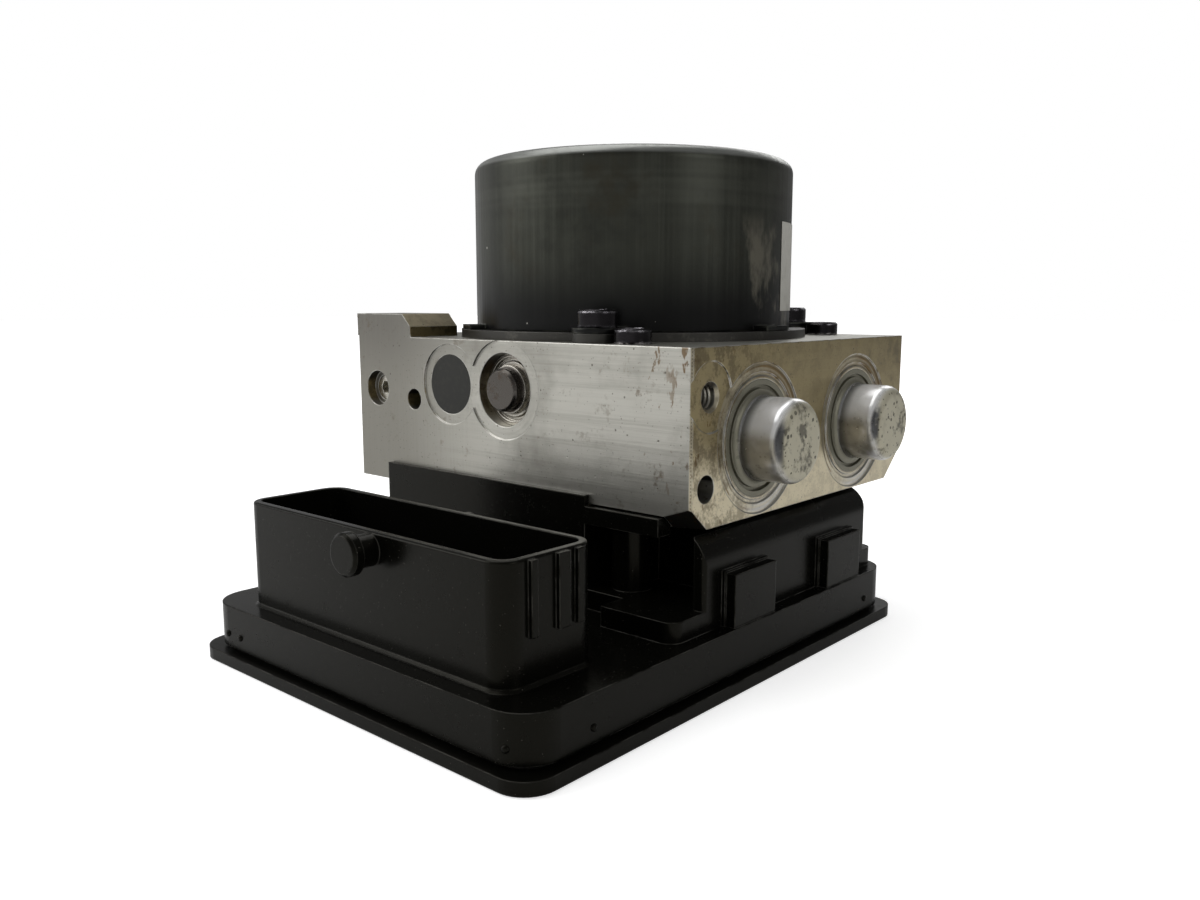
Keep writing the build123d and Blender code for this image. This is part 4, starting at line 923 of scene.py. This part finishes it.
def addThread(mount):
    out = Vector(mount["axis"])
    radius, length = mount["dims"]["r_mm"] / 1000, mount["dims"]["length_mm"] / 1000
    pitch, steps = threads["pitch"], threads["steps"]
    height = next(size for kind, size in threads["crest"].items() if mount["name"].startswith(kind))
    foot, crest = radius + threads["root"], radius - height
    profile = ((-0.45, foot), (-0.06, crest), (0.06, crest), (0.45, foot))  # pitches along, reach
    mouth = threadMouth(mount)
    count = int((length - pitch) / pitch) * steps
    points, faces = [], []
    for step in range(count + 1):
        ray = circleRay(out, 2 * math.pi * step / steps)
        middle = mouth - out * (pitch * (threads["start"] + step / steps))
        points += [middle + out * (along * pitch) + ray * reach for along, reach in profile]
    across = len(profile)
    for step in range(count):
        for corner in range(across - 1):
            a, b = step * across + corner, (step + 1) * across + corner
            faces.append((a, a + 1, b + 1, b))
    return addPiece("thread_" + mount["name"], points, faces, "block_aluminium")


for mount in frame["record"]["mounts"]:
    if mount["kind"] == "threaded_hole":
        addThread(mount)
print("threads cut")

# Blank label on the can, a pale strip on its right side
labelLook = {
    "from": 11.0,  # degrees round the can
    "to": 62.0,
    "bottom": 0.0758,
    "top": 0.0968,
    "canRadius": 0.040,
    "lift": 0.00004,
    "thick": 0.00009,
    "steps": 40,
    "paper": (0.52, 0.51, 0.46, 1),
    "soiled": (0.34, 0.325, 0.28, 1),
    "soiling": (120.0, 0.48, 0.25),  # stains
    "roughness": 0.5,
    "bump": (0.1, 0.00005, 0.00005),
}


def paperMaterial():
    look = labelLook
    material, tree, shader, spot = startMaterial("labelPaper")
    colour = tint(tree, look["paper"], look["soiled"], stained(tree, spot, *look["soiling"]))
    setSurface(tree, shader, colour, look["roughness"], 0.0)
    bumpUp(tree, shader, cloud(tree, spot, 900.0), *look["bump"])
    return material


def addLabel():
    look = labelLook
    inner = look["canRadius"] + look["lift"]
    points, faces = [], []
    for reach in (inner, inner + look["thick"]):
        for step in range(look["steps"] + 1):
            turn = math.radians(look["from"] + (look["to"] - look["from"]) * step / look["steps"])
            for level in (look["bottom"], look["top"]):
                points.append((reach * math.cos(turn), reach * math.sin(turn), level))
    count = 2 * (look["steps"] + 1)
    for step in range(look["steps"]):
        a, b = 2 * step, 2 * step + count  # the inner and the outer corner
        faces += [(a, a + 1, a + 3, a + 2), (b, b + 2, b + 3, b + 1)]
        faces += [(a + 1, b + 1, b + 3, a + 3), (a, a + 2, b + 2, b)]
    end = count - 2
    faces += [(0, count, count + 1, 1), (end, end + 1, count + end + 1, count + end)]
    paper = paperMaterial()
    return addPiece("can_label", points, faces, "holder_plastic", smooth=False, material=paper)


addLabel()

# Small moulded nubs on the skirt
nubs = {
    "radius": 0.00075,
    "height": 0.0005,
    "level": 0.0063,
    "frontWall": -0.0978,
    "front": (-0.0335, -0.0285),
    "rightWall": 0.059,
    "right": (-0.0816, 0.0177),
    "corner": {"turn": 19.7, "centre": (0.0510, -0.0898), "radius": 0.0080},  # the near corner
    "rings": 5,
    "steps": 16,
}


def addNub(name, foot, out):
    rings, steps = nubs["rings"], nubs["steps"]
    points, faces = [foot + out * nubs["height"]], []
    for ring in range(1, rings + 1):
        lean = 0.5 * math.pi * ring / rings
        middle = foot + out * nubs["height"] * math.cos(lean)
        for step in range(steps):
            ray = circleRay(out, 2 * math.pi * step / steps)
            points.append(middle + ray * nubs["radius"] * math.sin(lean))
    for step in range(steps):
        after = (step + 1) % steps
        faces.append((0, 1 + step, 1 + after))
        for ring in range(rings - 1):
            a, b = 1 + ring * steps + step, 1 + ring * steps + after
            faces.append((a, a + steps, b + steps, b))
    return addPiece(name, points, faces, "housing_plastic")


def addNubs():
    level, corner = nubs["level"], nubs["corner"]
    for count, x in enumerate(nubs["front"], 1):
        addNub(f"nub_front_{count}", Vector((x, nubs["frontWall"], level)), Vector((0, -1, 0)))
    for count, y in enumerate(nubs["right"], 1):
        addNub(f"nub_right_{count}", Vector((nubs["rightWall"], y, level)), Vector((1, 0, 0)))
    turn = math.radians(corner["turn"])
    out = Vector((math.sin(turn), -math.cos(turn), 0))
    addNub("nub_corner", Vector((*corner["centre"], level)) + out * corner["radius"], out)


addNubs()
print("label and nubs added")

# Camera, where the photograph was taken from
cameraView = {
    "place": (0.16587, -0.20188, 0.07815),
    "right": (0.7517, 0.6594, 0.0),
    "down": (0.0975, -0.1111, -0.9889),
    "lens": 29.9,
    "sensor": 36.0,
    "clip": (0.01, 20.0),
}


def addCamera():
    data = bpy.data.cameras.new("camera")
    data.lens, data.sensor_width = cameraView["lens"], cameraView["sensor"]
    data.clip_start, data.clip_end = cameraView["clip"]
    right = Vector(cameraView["right"]).normalized()
    up = -Vector(cameraView["down"]).normalized()
    turn = Matrix((right, up, right.cross(up))).transposed()
    camera = addObject("camera", data)
    camera.matrix_world = Matrix.Translation(cameraView["place"]) @ turn.to_4x4()
    bpy.context.scene.camera = camera


addCamera()

# Ground and light: a white ground that keeps the shadow, soft panels and a pale room
groundLook = {
    "size": 8.0,
    "drop": 0.0002,
    "colour": (0.80, 0.80, 0.80, 1),
    "cloudy": (0.78, 0.78, 0.78, 1),
    "near": 0.16,  # the backdrop's glow rises from here
    "far": 0.55,
    "lift": (0.62, 1.0),
    "mirrored": (0.35, 0.02),  # how much of the glow reflections see, pale side and dark side
    "roughness": 0.9,
    "specular": 0.1,
}
lamps = {
    "overhead": {
        "place": (-0.30, 0.0, 0.95), "aim": (0, 0, 0.05), "size": (1.3, 0.7), "power": 5.4,
    },
    "left": {
        "place": (-0.75, -0.75, 0.55), "aim": (0, -0.03, 0.05), "size": (0.6, 0.6), "power": 3.0,
    },
    "right": {
        "place": (0.95, -0.05, 0.45), "aim": (0, 0, 0.05), "size": (0.5, 0.5), "power": 1.1,
    },
    "back": {
        "place": (-0.25, 0.9, 0.6), "aim": (0, 0, 0.05), "size": (0.6, 0.4), "power": 1.6,
    },
}
roomLook = {
    "darkSide": (0.66, 0.75, 0.0),  # towards the darker side of the room
    "level": 0.30,
    "wall": (0.52, 0.17),  # what reflections see on the pale side and on the dark side
    "ceiling": 0.16,
    "seen": 1.0,
}


def mirroredRay(tree):
    light = tree.nodes.new("ShaderNodeLightPath").outputs
    return calc(tree, "MAXIMUM", light["Is Glossy Ray"], light["Is Transmission Ray"])


def cameraRay(tree):
    return tree.nodes.new("ShaderNodeLightPath").outputs["Is Camera Ray"]


def roomward(tree, direction, reach, ends):  # from the pale side of the room to the dark side
    along = vectorCalc(tree, "DOT_PRODUCT", direction, roomLook["darkSide"])
    return ramp(tree, along, -reach, reach, *ends)


def groundMaterial():
    look = groundLook
    material, tree, shader, spot = startMaterial("whiteGround")
    colour = tint(tree, look["colour"], look["cloudy"], cloud(tree, spot, 3.0))
    setSurface(tree, shader, colour, look["roughness"], 0.0)
    shader.inputs["Specular IOR Level"].default_value = look["specular"]

    # the glow that only the camera and reflections see, so the shadow stays on the white
    away = ramp(tree, vectorCalc(tree, "LENGTH", spot), look["near"], look["far"], *look["lift"])
    mirrored = times(tree, mirroredRay(tree), roomward(tree, spot, 0.3, look["mirrored"]))
    glow = tree.nodes.new("ShaderNodeEmission")
    seen = calc(tree, "MAXIMUM", cameraRay(tree), mirrored)
    feed(tree, times(tree, seen, away), glow.inputs["Strength"])
    both = tree.nodes.new("ShaderNodeAddShader")
    feed(tree, shader.outputs[0], both.inputs[0])
    feed(tree, glow.outputs[0], both.inputs[1])
    feed(tree, both.outputs[0], tree.nodes["Material Output"].inputs[0])
    return material


def addGround():
    half = groundLook["size"] / 2
    corners = [(-half, -half, 0), (half, -half, 0), (half, half, 0), (-half, half, 0)]
    mesh = bpy.data.meshes.new("ground")
    mesh.from_pydata(corners, [], [(0, 1, 2, 3)])
    mesh.materials.append(groundMaterial())
    ground = addObject("ground", mesh)
    ground.location.z = -groundLook["drop"]


def addLamps():
    for name, lamp in lamps.items():
        data = bpy.data.lights.new(name, "AREA")
        data.shape = "RECTANGLE"
        data.size, data.size_y = lamp["size"]
        data.energy = lamp["power"]
        light = addObject(name, data)
        light.location = lamp["place"]
        aim = Vector(lamp["aim"]) - Vector(lamp["place"])
        light.rotation_euler = aim.to_track_quat("-Z", "Y").to_euler()


def addRoom():
    look = roomLook
    world = bpy.data.worlds.new("room")
    world.use_nodes = True
    tree = world.node_tree
    sky = tree.nodes["Background"]
    outward = tree.nodes.new("ShaderNodeTexCoord").outputs["Generated"]
    wall = roomward(tree, outward, 0.8, look["wall"])
    room = ramp(tree, splitVector(tree, outward)[2], 0.15, 0.75, wall, look["ceiling"])
    change = times(tree, mirroredRay(tree), calc(tree, "SUBTRACT", room, look["level"]))
    strength = calc(tree, "ADD", change, look["level"])
    seen = times(tree, cameraRay(tree), look["seen"])
    sky.inputs["Color"].default_value = (1, 1, 1, 1)
    feed(tree, calc(tree, "MAXIMUM", strength, seen), sky.inputs["Strength"])
    bpy.context.scene.world = world


addGround()
addLamps()
addRoom()
bpy.context.scene.view_settings.view_transform = "Standard"
print("camera, ground and lamps placed")
